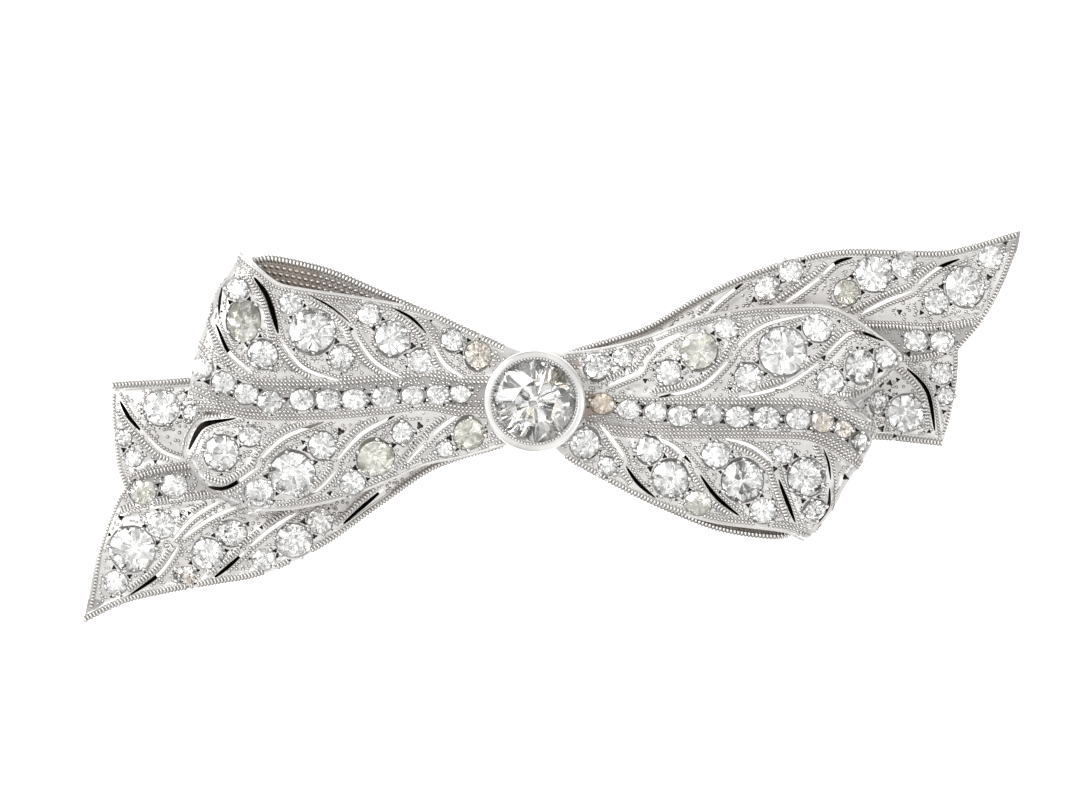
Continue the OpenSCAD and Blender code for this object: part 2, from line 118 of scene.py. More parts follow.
LEFT_TAIL = [
    [-2.1, 3.6, 3.7, -2.1, -0.7, 3.7, 0.0, 0.1],
    [-3.8, 3.3, 3.6, -3.4, -1.4, 3.6, 0.0, 0.1],
    [-6.4, 3.0, 3.6, -6.2, -2.2, 3.5, 0.0, 0.2],
    [-8.7, 2.9, 3.5, -8.5, -3.2, 3.4, 0.0, 0.2],
    [-11.7, 2.9, 3.4, -11.9, -5.6, 3.2, 0.0, 0.3],
    [-15.0, 2.9, 3.3, -15.3, -8.0, 2.9, 0.0, 0.3],
    [-18.6, 3.2, 3.1, -19.1, -9.8, 2.5, 0.0, 0.3],
    [-22.2, 3.4, 2.8, -22.2, -10.4, 2.0, 0.0, 0.4],
    [-25.5, 3.2, 2.4, -25.5, -11.0, 1.5, 0.1, 0.4],
    [-27.6, 3.1, 2.1, -28.3, -11.7, 1.0, 0.5, 0.4],
    [-29.0, 3.0, 1.7, -31.0, -13.0, 0.4, 1.0, 0.4],
]
RIGHT_TAIL = [
    [-0.2, -0.2, 3.7, -0.2, 4.4, 3.7, 0.0, 0.1],
    [1.3, -0.1, 3.6, 1.3, 5.1, 3.6, 0.0, 0.1],
    [4.0, 0.1, 3.6, 4.0, 5.9, 3.5, 0.0, 0.2],
    [6.5, -0.4, 3.5, 6.5, 6.8, 3.4, 0.0, 0.2],
    [9.2, -0.7, 3.4, 9.2, 8.4, 3.2, 0.0, 0.3],
    [12.0, -0.8, 3.3, 12.0, 9.8, 2.9, 0.0, 0.3],
    [15.4, -0.9, 3.1, 15.4, 11.0, 2.5, 0.0, 0.3],
    [18.9, -0.9, 2.8, 18.9, 11.7, 2.0, 0.0, 0.4],
    [21.6, -0.9, 2.4, 22.7, 11.7, 1.5, 0.1, 0.4],
    [23.8, -1.1, 2.1, 26.3, 11.7, 1.0, 0.5, 0.4],
    [25.7, -1.3, 1.7, 31.0, 13.0, 0.4, 1.0, 0.4],
]

# How far each ribbon's end stands out: [share of the way from edge a to edge b, offset along X]
LEFT_FOLD = [
    [0.00, 0.00], [0.15, -1.65], [0.35, -3.00], [0.50, -3.65], [0.57, -3.30], [0.62, -2.60],
    [0.69, -3.90], [0.77, -4.30], [0.86, -3.60], [0.95, -1.70], [1.00, 0.00],
]
RIGHT_FOLD = [
    [0.00, 0.00], [0.05, 0.50], [0.15, 0.80], [0.31, 0.90], [0.50, 1.10], [0.60, 0.70],
    [0.70, -1.20], [0.74, -1.60], [0.80, -1.00], [0.88, -0.30], [1.00, 0.00],
]
LEFT_NOTCH = [
    [0.00, 0.00], [0.16, 0.32], [0.26, 0.68], [0.36, 1.10], [0.40, 1.45], [0.45, 1.88],
    [0.50, 1.40], [0.60, 0.85], [0.73, 0.32], [0.88, 0.12], [1.00, 0.00],
]
RIGHT_NOTCH = [
    [0.00, 0.00], [0.15, -0.20], [0.31, -0.60], [0.40, -1.00], [0.45, -1.30], [0.54, -0.60],
    [0.62, -0.20], [0.70, 0.04], [0.80, 0.26], [0.90, 0.33], [0.96, 0.18], [1.00, 0.00],
]

# Saw-pierced lines. Each line is one slot or several end to end, and each slot is a curve through
# three points: [x1, y1, x2, y2, x3, y3], and its width if it isn't as wide as the others
LEFT_LOOP_LINES = [
    [[-21.4, 9.0, -21.6, 8.1, -21.7, 7.2, 0.14], [-21.9, 6.7, -21.2, 5.0, -19.7, 3.7, 0.27]],
    [[-19.6, 9.8, -18.7, 8.4, -18.0, 6.1, 0.42], [-17.7, 5.5, -16.3, 4.0, -14.1, 3.2]],
    [[-16.1, 8.7, -14.6, 7.8, -13.3, 6.7, 0.16], [-12.9, 5.8, -11.7, 4.4, -10.0, 3.4]],
    [[-10.6, 7.8, -9.4, 7.1, -8.4, 6.1, 0.22], [-7.9, 5.3, -7.1, 4.2, -5.9, 3.4]],
    [[-23.6, -1.5, -22.8, -0.1, -20.8, 0.5]],
    [[-22.4, -3.6, -21.3, -3.8, -19.4, -2.6], [-19.1, -2.0, -17.6, -0.8, -15.0, 0.2]],
    [[-16.8, -4.8, -15.4, -4.0, -14.3, -2.8, 0.18], [-14.1, -2.0, -12.5, -0.5, -10.4, 0.6]],
    [[-9.7, -2.3, -9.1, -1.6, -8.5, -1.0, 0.18], [-7.9, -0.4, -7.2, 0.1, -6.4, 0.6]],
]
RIGHT_LOOP_LINES = [
    [[3.8, 2.8, 4.9, 3.2, 5.9, 3.6], [6.4, 4.4, 7.4, 5.3, 8.5, 6.0, 0.2]],
    [[7.1, 2.1, 9.8, 2.8, 11.6, 4.3], [12.3, 5.3, 14.1, 6.6, 16.6, 7.3]],
    [[12.2, 2.1, 15.2, 2.8, 17.5, 4.2], [18.1, 4.8, 19.8, 6.2, 21.8, 5.7]],
    [[3.2, 0.0, 4.0, -0.9, 4.8, -1.9], [5.0, -2.5, 5.8, -3.6, 6.9, -4.6]],
    [[6.1, -0.6, 7.9, -1.3, 9.2, -2.4], [9.8, -3.1, 10.9, -4.5, 12.4, -5.8]],
    [[11.4, -0.9, 13.1, -1.4, 14.5, -2.4], [14.9, -3.4, 15.5, -4.9, 16.0, -6.2]],
    [[17.8, -1.5, 18.1, -2.4, 18.2, -3.4, 0.16], [18.1, -3.9, 17.9, -5.0, 17.2, -6.1, 0.16]],
]
LEFT_TAIL_LINES = [
    [[-28.4, 1.7, -27.8, 0.6, -27.0, -0.3], [-26.6, -0.7, -25.7, -1.5, -24.5, -2.0]],
    [[-27.9, -11.1, -25.9, -9.6, -24.7, -7.9], [-25.0, -7.5, -23.7, -6.1, -22.0, -5.0]],
    [[-24.2, -7.2, -22.5, -6.1, -20.7, -5.3]],
    [[-22.4, -10.0, -21.4, -9.2, -20.3, -8.2], [-19.9, -7.8, -18.5, -6.7, -16.9, -5.7]],
    [[-13.9, -6.4, -12.7, -5.3, -11.2, -4.0]],
]
RIGHT_TAIL_LINES = [
    [[10.2, 7.4, 11.4, 8.5, 12.6, 9.4]],
    [[15.4, 8.2, 16.5, 8.9, 17.6, 9.7], [17.9, 10.0, 18.8, 10.8, 19.8, 11.1]],
    [[20.3, 7.5, 22.0, 8.3, 23.7, 8.9], [24.2, 9.4, 25.5, 10.4, 26.9, 11.0]],
    [[23.3, 3.8, 24.7, 2.3, 25.2, -0.2]],
]

# Openwork where a tail passes under a loop: [x, y] of each corner
LEFT_WINDOW = [
    [-19.9, 0.5], [-17.8, 0.3], [-16.0, 0.0], [-14.4, 0.3], [-13.0, 0.9],
    [-6.2, 0.9], [-5.7, 0.1], [-6.6, -0.9], [-9.2, -2.2], [-11.0, -3.0],
    [-14.0, -4.0], [-16.6, -4.5], [-19.0, -4.6], [-21.3, -3.9], [-21.4, -2.6],
]
RIGHT_WINDOW = [
    [19.9, 4.3], [18.6, 2.9], [15.8, 2.2], [12.0, 1.7], [9.5, 1.9],
    [6.4, 2.2], [3.9, 2.2], [3.4, 3.0],
    [4.6, 4.3], [6.6, 5.4], [8.8, 6.3], [12.0, 7.0], [15.0, 7.5],
    [18.0, 7.2], [20.0, 6.2], [20.6, 5.2],
]
# Openings in the left loop's back, beside its fold
UPPER_BACK_WINDOW = [
    [-21.6, 5.6], [-20.9, 5.7], [-19.2, 4.2], [-18.6, 3.2], [-20.3, 3.2], [-21.3, 4.4],
]
LOWER_BACK_WINDOW = [
    [-21.3, -3.0], [-21.2, -4.1], [-19.2, -3.9], [-18.2, -2.9], [-18.8, -1.8], [-20.2, -2.3],
]

# Stones, charted one by one: [u, v] of the centre in pixels of the photograph, width and height in
# millimetres as seen from the front, and tint where it isn't white
LEFT_LOOP_STONES = [
    [239, 291, 1.5, 1.5], [245, 322, 2.2, 2.9, "yellow"], [264, 354, 2.0, 1.95],
    [291, 305, 1.55, 1.6], [313, 332, 3.15, 3.0], [342, 357, 1.65, 1.65],
    [369, 315, 1.6, 1.6], [392, 339, 2.3, 2.3], [419, 360, 1.6, 1.6],
    [452, 341, 1.6, 1.6], [477, 356, 1.85, 1.85, "peach"],
    [206, 368, 1.5, 1.5], [225, 382, 1.65, 1.65], [247, 394, 1.65, 1.65],
    [271, 402, 1.8, 1.8], [303, 400, 1.7, 1.7], [329, 400, 1.65, 1.65],
    [355, 400, 1.65, 1.65], [385, 398, 1.7, 1.7], [412, 396, 1.5, 1.5],
    [437, 395, 1.45, 1.45], [460, 394, 1.4, 1.4],
    [223, 453, 2.3, 2.3], [251, 437, 1.45, 1.45], [260, 491, 2.1, 2.1],
    [293, 472, 3.25, 3.1], [323, 446, 1.8, 1.8], [352, 482, 1.7, 1.7],
    [375, 457, 2.5, 2.5, "yellow"], [402, 433, 1.45, 1.45], [444, 448, 1.2, 1.2],
    [468, 433, 2.1, 2.1, "yellow"],
]
RIGHT_LOOP_STONES = [
    [603, 403, 1.65, 1.65, "brown"], [629, 409, 1.55, 1.5], [656, 412, 1.45, 1.45],
    [680, 416, 1.6, 1.6], [709, 414, 1.65, 1.65], [738, 417, 1.72, 1.7],
    [766, 418, 1.85, 1.75], [797, 419, 1.65, 1.65], [821, 422, 1.5, 1.5, "peach"],
    [843, 429, 1.4, 1.45, "peach"], [857, 441, 1.2, 1.5],
    [598, 367, 1.9, 1.9], [624, 359, 1.3, 1.3], [669, 373, 1.65, 1.65],
    [699, 352, 2.5, 2.5, "yellow"], [727, 329, 1.6, 1.6], [748, 376, 1.85, 1.8],
    [782, 352, 3.2, 3.2], [817, 329, 2.05, 1.95], [829, 381, 1.85, 1.85],
    [858, 366, 2.2, 2.6], [883, 356, 1.7, 1.7],
    [586, 443, 2.0, 2.0], [609, 465, 1.3, 1.3], [650, 450, 1.85, 1.85],
    [671, 478, 2.5, 2.5], [698, 502, 1.85, 1.75, "yellow"], [716, 456, 2.05, 1.9],
    [742, 480, 3.0, 3.0, "star"], [763, 510, 1.8, 1.8], [782, 455, 1.2, 1.2],
    [805, 477, 2.5, 2.5], [813, 508, 1.45, 1.45],
]
LEFT_TAIL_STONES = [
    [162, 408, 2.45, 2.45], [192, 413, 1.1, 1.1], [125, 437, 1.1, 1.1],
    [134, 457, 1.2, 1.2], [144, 492, 1.8, 1.8, "yellow"], [175, 486, 1.78, 1.78],
    [133, 549, 3.3, 3.1], [116, 582, 1.65, 1.65], [162, 526, 1.9, 1.8],
    [208, 553, 2.25, 2.25], [232, 533, 2.2, 1.8], [186, 574, 1.6, 1.2, "peach"],
    [264, 559, 1.55, 1.5], [294, 540, 2.45, 2.3], [320, 520, 1.7, 1.7],
]
RIGHT_TAIL_STONES = [
    [767, 289, 1.65, 1.65], [791, 272, 1.6, 1.6], [846, 293, 1.8, 1.8, "yellow"],
    [873, 275, 2.65, 2.65], [904, 266, 1.8, 1.75], [936, 302, 1.7, 1.7],
    [965, 287, 2.85, 2.85], [991, 258, 1.6, 1.6], [915, 340, 1.65, 1.65],
    [942, 341, 1.65, 1.65], [941, 375, 1.4, 1.4], [945, 396, 1.1, 1.1],
    [877, 403, 1.25, 1.6], [905, 413, 2.6, 2.6],
]

# The surface's mesh, and heights of what is raised or cut away, from the ribbon's own surface
MESH_STEP = 0.18
OUTLINE_INSET = 0.05
KNOT_OPENING_R = 2.0
SEAT_GAP = 0.042
SEAT_HOLE_SHARE = 0.62
SEAT_SLOPE = 0.42
SEAT_POINTS = 24
PIT_H = -0.35
BORDER_W = 0.42
BORDER_H = 0.08
STRIP_W = 0.5
STRIP_H = 0.08
FIELD_H = -0.02
RIB_HALF_W = 1.6
RIB_H = 0.13
CHANNEL_HALF_W = 0.84
CHANNEL_H = 0.06
COLLAR_W = 0.22
COLLAR_H = 0.02
RAMP_W = 0.15
CHANNEL_RAMP_W = 0.1

# Fineness of each ribbon's own grids: steps in a row of its table, points of a guess and of its outline
# along and across it, and samples of its end's shape, each blurred with its neighbours
STEPS_PER_ROW = 40
GUESS_STEPS = [60, 50]
OUTLINE_STEPS = [60, 40]
END_SAMPLES = 201
END_BLUR = 9
# Steps of s and t over which the surface's slopes and its outward direction are taken
SLOPE_STEP = 0.01
NORMAL_STEP = 0.02
# solve(): its rounds, the flattest determinant, and the largest move of s and t in a round
SOLVE_ROUNDS = 8
LEAST_DET = 1e-3
MOST_MOVE = [0.5, 0.1]
# A place that locate() misses by more than this in plan doesn't lie on the front
MOST_MISS = 0.05
# Least gap between two stones, and how many times the chart is gone over for it
STONES_APART = 0.04
FIT_ROUNDS = 3
# A slot's shape: steps along it, its width at the ends as a share, and how fast it widens from there
SLOT_STEP = 0.25
SLOT_END_SHARE = 0.25
SLOT_SWELL = 0.7
# The mesh's lattice: distance between its rows and from edge b, as shares of the step, how near it
# comes to a cut, and the distance within which points are merged
LATTICE_ROW = 0.87
LATTICE_MARGIN = 0.4
LOOP_CLEAR = 0.3
MERGE_REACH = 1e-5
# A closed row of the mesh's points: their kind, the height of those that lie deep, and their lean
MeshLoop = namedtuple("MeshLoop", "points kind depth lean", defaults=(math.nan, 0))

# Blind drill holes in the corners where two stones meet: rounded triangles
PIT_R = 0.14
PIT_SPREAD = [0.75, 1.3]
PIT_FLOOR_SHARE = 0.6
PIT_CORNER = 0.35
PIT_MARGIN = 0.05
PIT_GAP = 0.02
EXTRA_PIT_GAP = 0.03
PIT_POINTS = 12
PIT_REACH = 0.5
Pit = namedtuple("Pit", "plan radius turn")
# Small extra holes beside each stone: how many are tried, and their radius
SPECK_TRIES = 3
SPECK_R = [0.06, 0.1]
# The most visible other holes, charted one by one: [u, v] in pixels of the photograph, and radius
DRILL_HOLES = {
    "left_loop": [
        [419, 426, 0.2], [341, 433, 0.22], [304, 443, 0.14], [351, 331, 0.14], [259, 336, 0.2],
        [279, 363, 0.16], [366, 455, 0.12], [415, 452, 0.12], [330, 492, 0.16], [430, 322, 0.1],
    ],
    "right_loop": [
        [650, 361, 0.14], [730, 387, 0.12], [774, 469, 0.15], [766, 377, 0.14], [822, 358, 0.16],
        [646, 380, 0.14], [705, 478, 0.14], [841, 475, 0.16], [858, 463, 0.14], [838, 322, 0.12],
        [874, 436, 0.16], [660, 372, 0.1], [720, 490, 0.1], [777, 515, 0.12],
    ],
    "left_tail": [
        [176, 405, 0.18], [202, 449, 0.16], [248, 524, 0.14], [302, 522, 0.14], [182, 516, 0.14],
        [165, 541, 0.12], [123, 519, 0.16], [253, 566, 0.14], [156, 460, 0.12], [190, 514, 0.12],
        [187, 393, 0.14], [262, 527, 0.12],
    ],
    "right_tail": [
        [907, 355, 0.2], [881, 428, 0.2], [989, 278, 0.18], [1006, 244, 0.12], [886, 398, 0.2],
        [803, 262, 0.16], [781, 285, 0.16], [754, 301, 0.18], [899, 311, 0.16], [921, 312, 0.14],
        [880, 385, 0.18], [894, 436, 0.14], [943, 411, 0.14], [935, 420, 0.1], [889, 384, 0.17],
        [897, 381, 0.13], [885, 399, 0.15], [928, 431, 0.12], [889, 391, 0.1],
    ],
}

# A bead's profile, from its foot up: [share of its half width, share of its height]. Its foot, painted
# dark as the shade between beads, reaches further out by FOOT_W.
BEAD_PROFILE = [[1.0, 0.06], [1.0, 0.25], [0.74, 0.7]]
BEAD_SIDES = 8
FOOT_W = 0.045
# Places for beads and holes end here, in plan, and at this distance from the ribbon's edges
BEAD_LIMITS = [30.88, 12.86]
EDGE_CLEAR = 0.09
# They come this much nearer to openings, and this far under the ribbon on top
OPENING_MARGIN_SHARE = 0.7
COVER_OVERLAP = 1

# Kinds of bead: half length along its row, half width across it, height, and distance to the next
Bead = namedtuple("Bead", "along across height pitch")
BAR = Bead(0.078, 0.2, 0.12, 0.228)
WIDE_BAR = Bead(0.085, 0.24, 0.12, 0.24)
SHORT_BAR = Bead(0.08, 0.13, 0.11, 0.225)
MEDIUM = Bead(0.092, 0.1, 0.11, 0.26)
FINE = Bead(0.078, 0.085, 0.1, 0.225)
AZURE = Bead(0.16, 0.135, 0.15, 0.41)
BEAD_GAP = 0.07
BEAD_CELL = 0.25
WIRE_HALF_W = 0.055
WIRE_H = 0.06
WIRE_PROFILE = [(-1, 0), (-0.6, 0.8), (0, 1), (0.6, 0.8), (1, 0)]

# Where the rows of beads run: steps along them, where they start beside the knot, as s, and how much
# sooner a wire ends
ROW_STEP = 0.1
BEADING_START = 0.9
WIRE_SHORT = 0.1
# How far inside an edge they lie, beside a ribbed rim and beside a loop's plain rim
RIM_INSET = 0.2
RIM_WIRE_INSET = 0.52
LOOP_WIRE_INSET = 0.17
LOOP_ROW_INSETS = [0.37, 0.6]
# Gap between a slot and its beads, and how far they run on past it
SLOT_BEAD_GAP = 0.04
SLOT_ROW_EXTRA = 0.5
# The rows inside a loop's back: how far from the fold and the knot, as s, and how far inside the edge
BACK_MARGINS = [0.3, 0.5]
AZURE_ROWS = 4
AZURE_INSET = 0.68
AZURE_STEP = 0.38

# Claws: how many on a small and on a larger stone, and the radius that parts them; the swing of their
# places, their radii, how far they stand out, the height of their foot and of themselves, and their gap
FEW_CLAWS, MANY_CLAWS = 4, 6
MANY_CLAWS_R = 1.1
CLAW_SWING = 0.2
CLAW_R = [0.1, 0.14]
CLAW_OUT_SHARE = 0.4
CLAW_FOOT_H = 0.06
CLAW_H_SHARE = 0.9
CLAW_GAP = 0.16

# Loose fine grains over the bare metal: distance between them, and the share of places that have one
# near a stone on a loop, elsewhere on a loop, near a stone on a tail, and elsewhere on a tail
GRAIN_STEP = 0.23
GRAIN_SHARES = [0.85, 0.42, 0.75, 0.35]
GRAIN_REACH = 0.42
# Their radii, how far they stray from the grid, and the gaps to holes and to other beads
GRAIN_R = [0.06, 0.09]
GRAIN_STRAY = 0.06
GRAIN_CLEAR = 0.08
GRAIN_GAP = 0.17

# Rows of beads beside the rib: how far each lies from it, across the unrolled ribbon, and its kind
LEFT_LOOP_BANDS = [[-1.0, MEDIUM], [-1.26, MEDIUM], [1.0, MEDIUM], [1.26, MEDIUM], [1.5, FINE]]
RIGHT_LOOP_BANDS = [[1.0, MEDIUM], [1.26, MEDIUM], [-1.0, MEDIUM], [-1.26, MEDIUM], [-1.5, FINE]]
TAIL_BANDS = [[-1.04, BAR], [-1.32, FINE], [1.04, BAR], [1.32, FINE]]
# Beaded bands that turn away with the rib's last stones: points in pixels of the photograph
SWEEPS = {
    "left_loop": [
        [[201, 343], [212, 355], [227, 364], [242, 373], [255, 378]],
        [[198, 387], [212, 398], [225, 407], [236, 413]],
    ],
    "right_loop": [
        [[820, 402], [838, 408], [852, 414], [864, 424], [872, 434]],
        [[808, 440], [823, 444], [838, 452], [850, 462]],
    ],
}
SWEEP_OFFSETS = [-0.13, 0.13]
# A row of bars along the fold of the right loop's upper lobe, in pixels of the photograph
LOBE_ROWS = {
    "right_loop": [[893, 365], [881, 374], [869, 383], [856, 389], [842, 394], [826, 396]],
}
# How far out along each loop its front and back share edge a
EDGE_PARTING = {"left_loop": 3.7, "right_loop": 4.4}

# Patches of painted shade beside the collet, in the inner side's darker metal: [x, y, half_x, half_y]
SHADED = [[2.5, 1.3, 0.42, 1.15], [1.45, 4.15, 0.45, 0.4]]
# Stretches of the slots closed at the back by dark metal, as painted shadow: [x, y, half_x, half_y]
SHADOW_BACKED = [
    [-18.8, 8.1, 1.2, 2.2], [-21.6, 8.1, 0.6, 1.3], [-21.6, 5.9, 0.6, 1.2], [-15.2, 8.2, 0.9, 0.7],
    [-9.6, 7.1, 1.2, 1.2], [-22.2, -0.4, 1.7, 1.3], [-21.7, -3.75, 1.2, 0.5], [-10.5, 0.5, 0.4, 0.4],
    [-27.8, 0.8, 1.0, 1.4], [-27.0, -10.5, 1.2, 1.2], [-21.4, -9.2, 1.2, 1.0], [-12.6, -5.3, 1.6, 1.5],
    [6.0, -3.6, 1.2, 1.3], [11.1, -4.5, 1.7, 1.7], [15.5, -4.9, 0.9, 1.8], [17.9, -4.3, 0.9, 2.4],
    [21.3, 6.0, 0.9, 0.8], [7.2, 2.15, 0.6, 0.4], [6.3, -0.7, 0.5, 0.4], [9.1, -2.3, 0.5, 0.5],
    [12.4, 9.3, 0.5, 0.5], [19.3, 10.9, 0.9, 0.5], [26.3, 10.8, 0.9, 0.6], [24.5, 1.9, 1.5, 2.8],
]
# Patches of painted shade at the tails' tips, in the darker metal: [x, y, half_x, half_y]
TIP_SHADE = [[-30.4, -12.3, 1.0, 1.0], [30.4, 12.4, 1.0, 0.9]]
# Stretch of the inner side of the left loop's back painted lighter, as painted light
LIT_INSIDE = [[-12.6, 9.6, 2.8, 1.6]]
# A sheet's materials, in the order of their numbers
SHEET_METALS = ["ribbon_metal", "inner_shade_metal", "recess_shade_metal", "dim_shade_metal"]
OUTER_KIND, INNER_SHADE_KIND, RECESS_SHADE_KIND, DIM_SHADE_KIND = range(4)
# Painted shade in the near-black recess metal reaches this far round a loop's fold, on its inner side, as
# s
FOLD_REACH = 0.6
# Metal whose outward direction is flatter than this is painted in the darker metal, as shade that dims
# its reflection of the pale floor
STEEP_Z = 0.65
# The same limit for beads, whose tops are then painted in a darker metal as shade
STEEP_BEAD_Z = 0.75
# How far a slot's edge on the inner side lies nearer to the slot's middle line, as a share of the way
SLOT_LEAN = 0.25
# The slots run straight down where the ribbon lies flatter than this: [not at all, wholly]
UPRIGHT_Z = [0.7, 0.85]
# The same for the distance from the ribbon's edge
UPRIGHT_EDGE = [0.1, 0.7]

# The centre stone's facets that look smoky, as numbered by cut_stone()
SMOKY_FACETS = [10, 11, 58]
# Tints of small stones with facets of a second colour, and those facets' numbers. The star's second
# colour is painted dark reflection, on its flats.
TWO_TONE = {"star": [82, 83, 84, 85], "brown": [11, 27, 43, 59]}
# The star's four flats of painted dark reflection, which lie inside its stone: their first and last
# direction in degrees, inner and outer radius, and their height over the girdle, as shares of the
# stone's radius
STAR_DARK_REFLECTIONS = [[68, 94, 0.1, 0.5], [115, 154, 0.18, 0.5], [253, 276, 0.13, 0.56], [295, 327, 0.08, 0.57]]
STAR_Z = 0.15

# Proportions of the small stones, as shares of their radius: the least and the most
CUTS = {
    "table": (0.44, 0.56),
    "crown": (0.24, 0.33),
    "pavilion": (0.78, 0.9),
    "culet": (0.06, 0.13),
    "deep": (0.62, 0.76),
}

# Every cut stone: the sides of its table, and of its girdle
CUT_SIDES = 8
GIRDLE_SIDES = 2 * CUT_SIDES
# As shares of its radius: the girdle's half height, and how far out and up the crown's middle ring lies
GIRDLE_HALF_H = 0.03
CROWN_RING_OUT = 0.02
CROWN_RING_UP = 0.56
# How far a small stone leans, and its girdle's height over its collar
STONE_LEAN = 0.05
STONE_LIFT = 0.02
# The centre stone's cut, and how far its inner corners stray, as shares of its radius
CENTRE_CUT = {"table": 0.52, "crown": 0.28, "pavilion": 0.92, "culet": 0.15, "deep": 0.66}
UNEVEN_WITHIN = 0.95
UNEVEN = 0.035
UNEVEN_Z_SHARE = 0.2

# The collet's profile: [distance inside COLLET_R, height over its foot] up its outer wall, and
# [distance outside the centre stone, height over the girdle] down its inner wall
COLLET_OUTSIDE = [[0.12, 0.0], [0.02, 0.1], [0.0, 0.5]]
COLLET_INSIDE = [[-0.03, 0.24], [-0.06, 0.18], [0.05, 0.1], [0.05, -0.08], [-0.62, -0.85]]
BEARING_W = 0.62
# Its rounded crest, with its middle so far under the rim, and its lip's rounding, so far off the stone.
# Each is a quarter turn, made in that many steps.
CREST_STEPS = 8
LIP_STEPS = 5
CREST_HALF_W = 0.14
CREST_H = 0.2
CREST_DROP = 0.3
LIP_ROUND = 0.07
LIP_TOP_OUT = 0.16
# The beads round its inner edge: half sizes and height, place from the stone's girdle, and inward lean
COLLET_BEADS = 84
COLLET_BEAD = [0.07, 0.07, 0.08]
COLLET_BEAD_OUT = 0.04
COLLET_BEAD_UP = 0.28
COLLET_BEAD_TILT = 0.5

# Segments round the turned pieces, and the small radius at which a peg's ends close
KNOT_SEGMENTS = 96
PEG_SEGMENTS = 24
COLLET_SEGMENTS = 128
PEG_AXIS_R = 0.01
# The sharpest angle that is smoothed on each kind of piece, in degrees
SHEET_SMOOTH = 40
BEAD_SMOOTH = 180
TURNED_SMOOTH = 30
COLLET_SMOOTH = 50

# Metals: light and dark colour, roughness, grain of the worked surface in millimetres, and bump
METALS = {
    "ribbon_metal": [(0.86, 0.847, 0.837), (0.73, 0.715, 0.705), 0.38, 0.07, 0.5],
    # Painted shade: a darker copy of the ribbon metal, for steep faces, the rib's channel, the tails'
    # tips, the collet's inner wall and its beads' feet
    "dim_shade_metal": [(0.56, 0.55, 0.545), (0.42, 0.41, 0.405), 0.45, 0.08, 0.6],
    # Painted shade: dark brownish metal for the inner sides and for the shade beside the collet
    "inner_shade_metal": [(0.44, 0.39, 0.35), (0.28, 0.24, 0.21), 0.4, 0.12, 0.6],
    # Painted shade: near-black metal for the walls and backs of slots, the pits' floors and a loop's fold
    "recess_shade_metal": [(0.26, 0.235, 0.22), (0.16, 0.145, 0.135), 0.5, 0.1, 0.5],
    "bead_metal": [(0.97, 0.957, 0.938), (0.88, 0.866, 0.848), 0.16, 0.2, 0.1],
    # Painted shade: a darker copy of the bead metal for steep beads
    "steep_bead_shade_metal": [(0.74, 0.725, 0.71), (0.64, 0.627, 0.612), 0.28, 0.2, 0.1],
    # Painted shade: dark metal on the beads' feet, for the shade between beads
    "foot_shade_metal": [(0.33, 0.305, 0.29), (0.22, 0.2, 0.19), 0.5, 0.1, 0.3],
    # Painted shade: darker brownish beads on the inner side of a loop's back
    "inner_shade_bead_metal": [(0.82, 0.76, 0.71), (0.72, 0.66, 0.61), 0.2, 0.2, 0.1],
    "collet_metal": [(0.9, 0.885, 0.872), (0.8, 0.785, 0.775), 0.32, 0.2, 0.25],
    "pin_metal": [(0.75, 0.74, 0.72), (0.66, 0.65, 0.63), 0.22, 0.3, 0.2],
}
# Their clouds of colour, how the roughness spreads, and the bump's height
METAL_CLOUDS_PER_MM = 0.4
METAL_CLOUD_SPREAD = [0.35, 0.65]
GLOSS_SPREAD = [0.7, 1.5]
BUMP_MM = 0.03
# Stones: light and dark colour, and the share of the light that goes through
GLASSES = {
    "stone_white": [(1, 1, 1), (0.97, 0.975, 0.97), 0.96],
    "stone_yellow": [(0.995, 0.99, 0.93), (0.97, 0.955, 0.84), 0.83],
    "stone_peach": [(0.985, 0.93, 0.87), (0.94, 0.84, 0.74), 0.96],
    "stone_brown": [(0.87, 0.73, 0.58), (0.64, 0.5, 0.36), 0.96],
    # Painted dark reflection: opaque flats inside the star stone
    "stone_dark_reflection": [(0.15, 0.145, 0.15), (0.1, 0.095, 0.1), 0],
    "stone_smoky": [(0.7, 0.62, 0.48), (0.5, 0.42, 0.3), 0.96],
}
GLASS_CLOUDS_PER_MM = 0.7
DIAMOND_IOR = 2.42
# What the small stones of each tint are made of
TINTS = {
    "white": ["stone_white"],
    "yellow": ["stone_yellow"],
    "peach": ["stone_peach"],
    "brown": ["stone_brown", "stone_white"],
    "star": ["stone_white", "stone_dark_reflection"],
}

# Brightness of the room by height of the direction, from level (0) to straight up (1)
WORLD_STEPS = [[0.2, 0.35], [0.45, 0.3], [0.6, 0.7], [0.75, 1.0], [0.96, 1.0], [0.985, 0.55]]
# Brightness level and straight up, and the share of blue elsewhere
WORLD_ENDS = [0.45, 0.5]
WORLD_WARMTH = 0.985
# Bright panels round the room, and how much brighter and dimmer than the room they and the gaps are
PANELS = 5
PANEL_SWING = 0.55

# Softboxes: name, place and size in metres, and brightness
SOFT_LIGHTS = [
    ["key", (-0.38, 0.15, 0.3), 0.34, 3.2],
    ["fill", (0.35, -0.2, 0.35), 0.25, 1.4],
]
# The floor: its side in metres, its shade, its roughness, and the brightness of its own light
FLOOR_SIZE = 4
FLOOR_SHADE = 0.9
FLOOR_ROUGHNESS = 0.9
FLOOR_GLOW = 1.0

# The camera: its lens and sensor, and the height at which the frame is as large as the photograph's
LENS_MM = 900
SENSOR_MM = 36
FOCUS_Z = 4.0


def catmull_rom(a, b, c, d, u):
    """The curve from b to c, at u from 0 to 1."""
    return (
        b
        + (c - a) * u / 2
        + (2 * a - 5 * b + 4 * c - d) * u**2 / 2
        + (3 * b - a - 3 * c + d) * u**3 / 2
    )


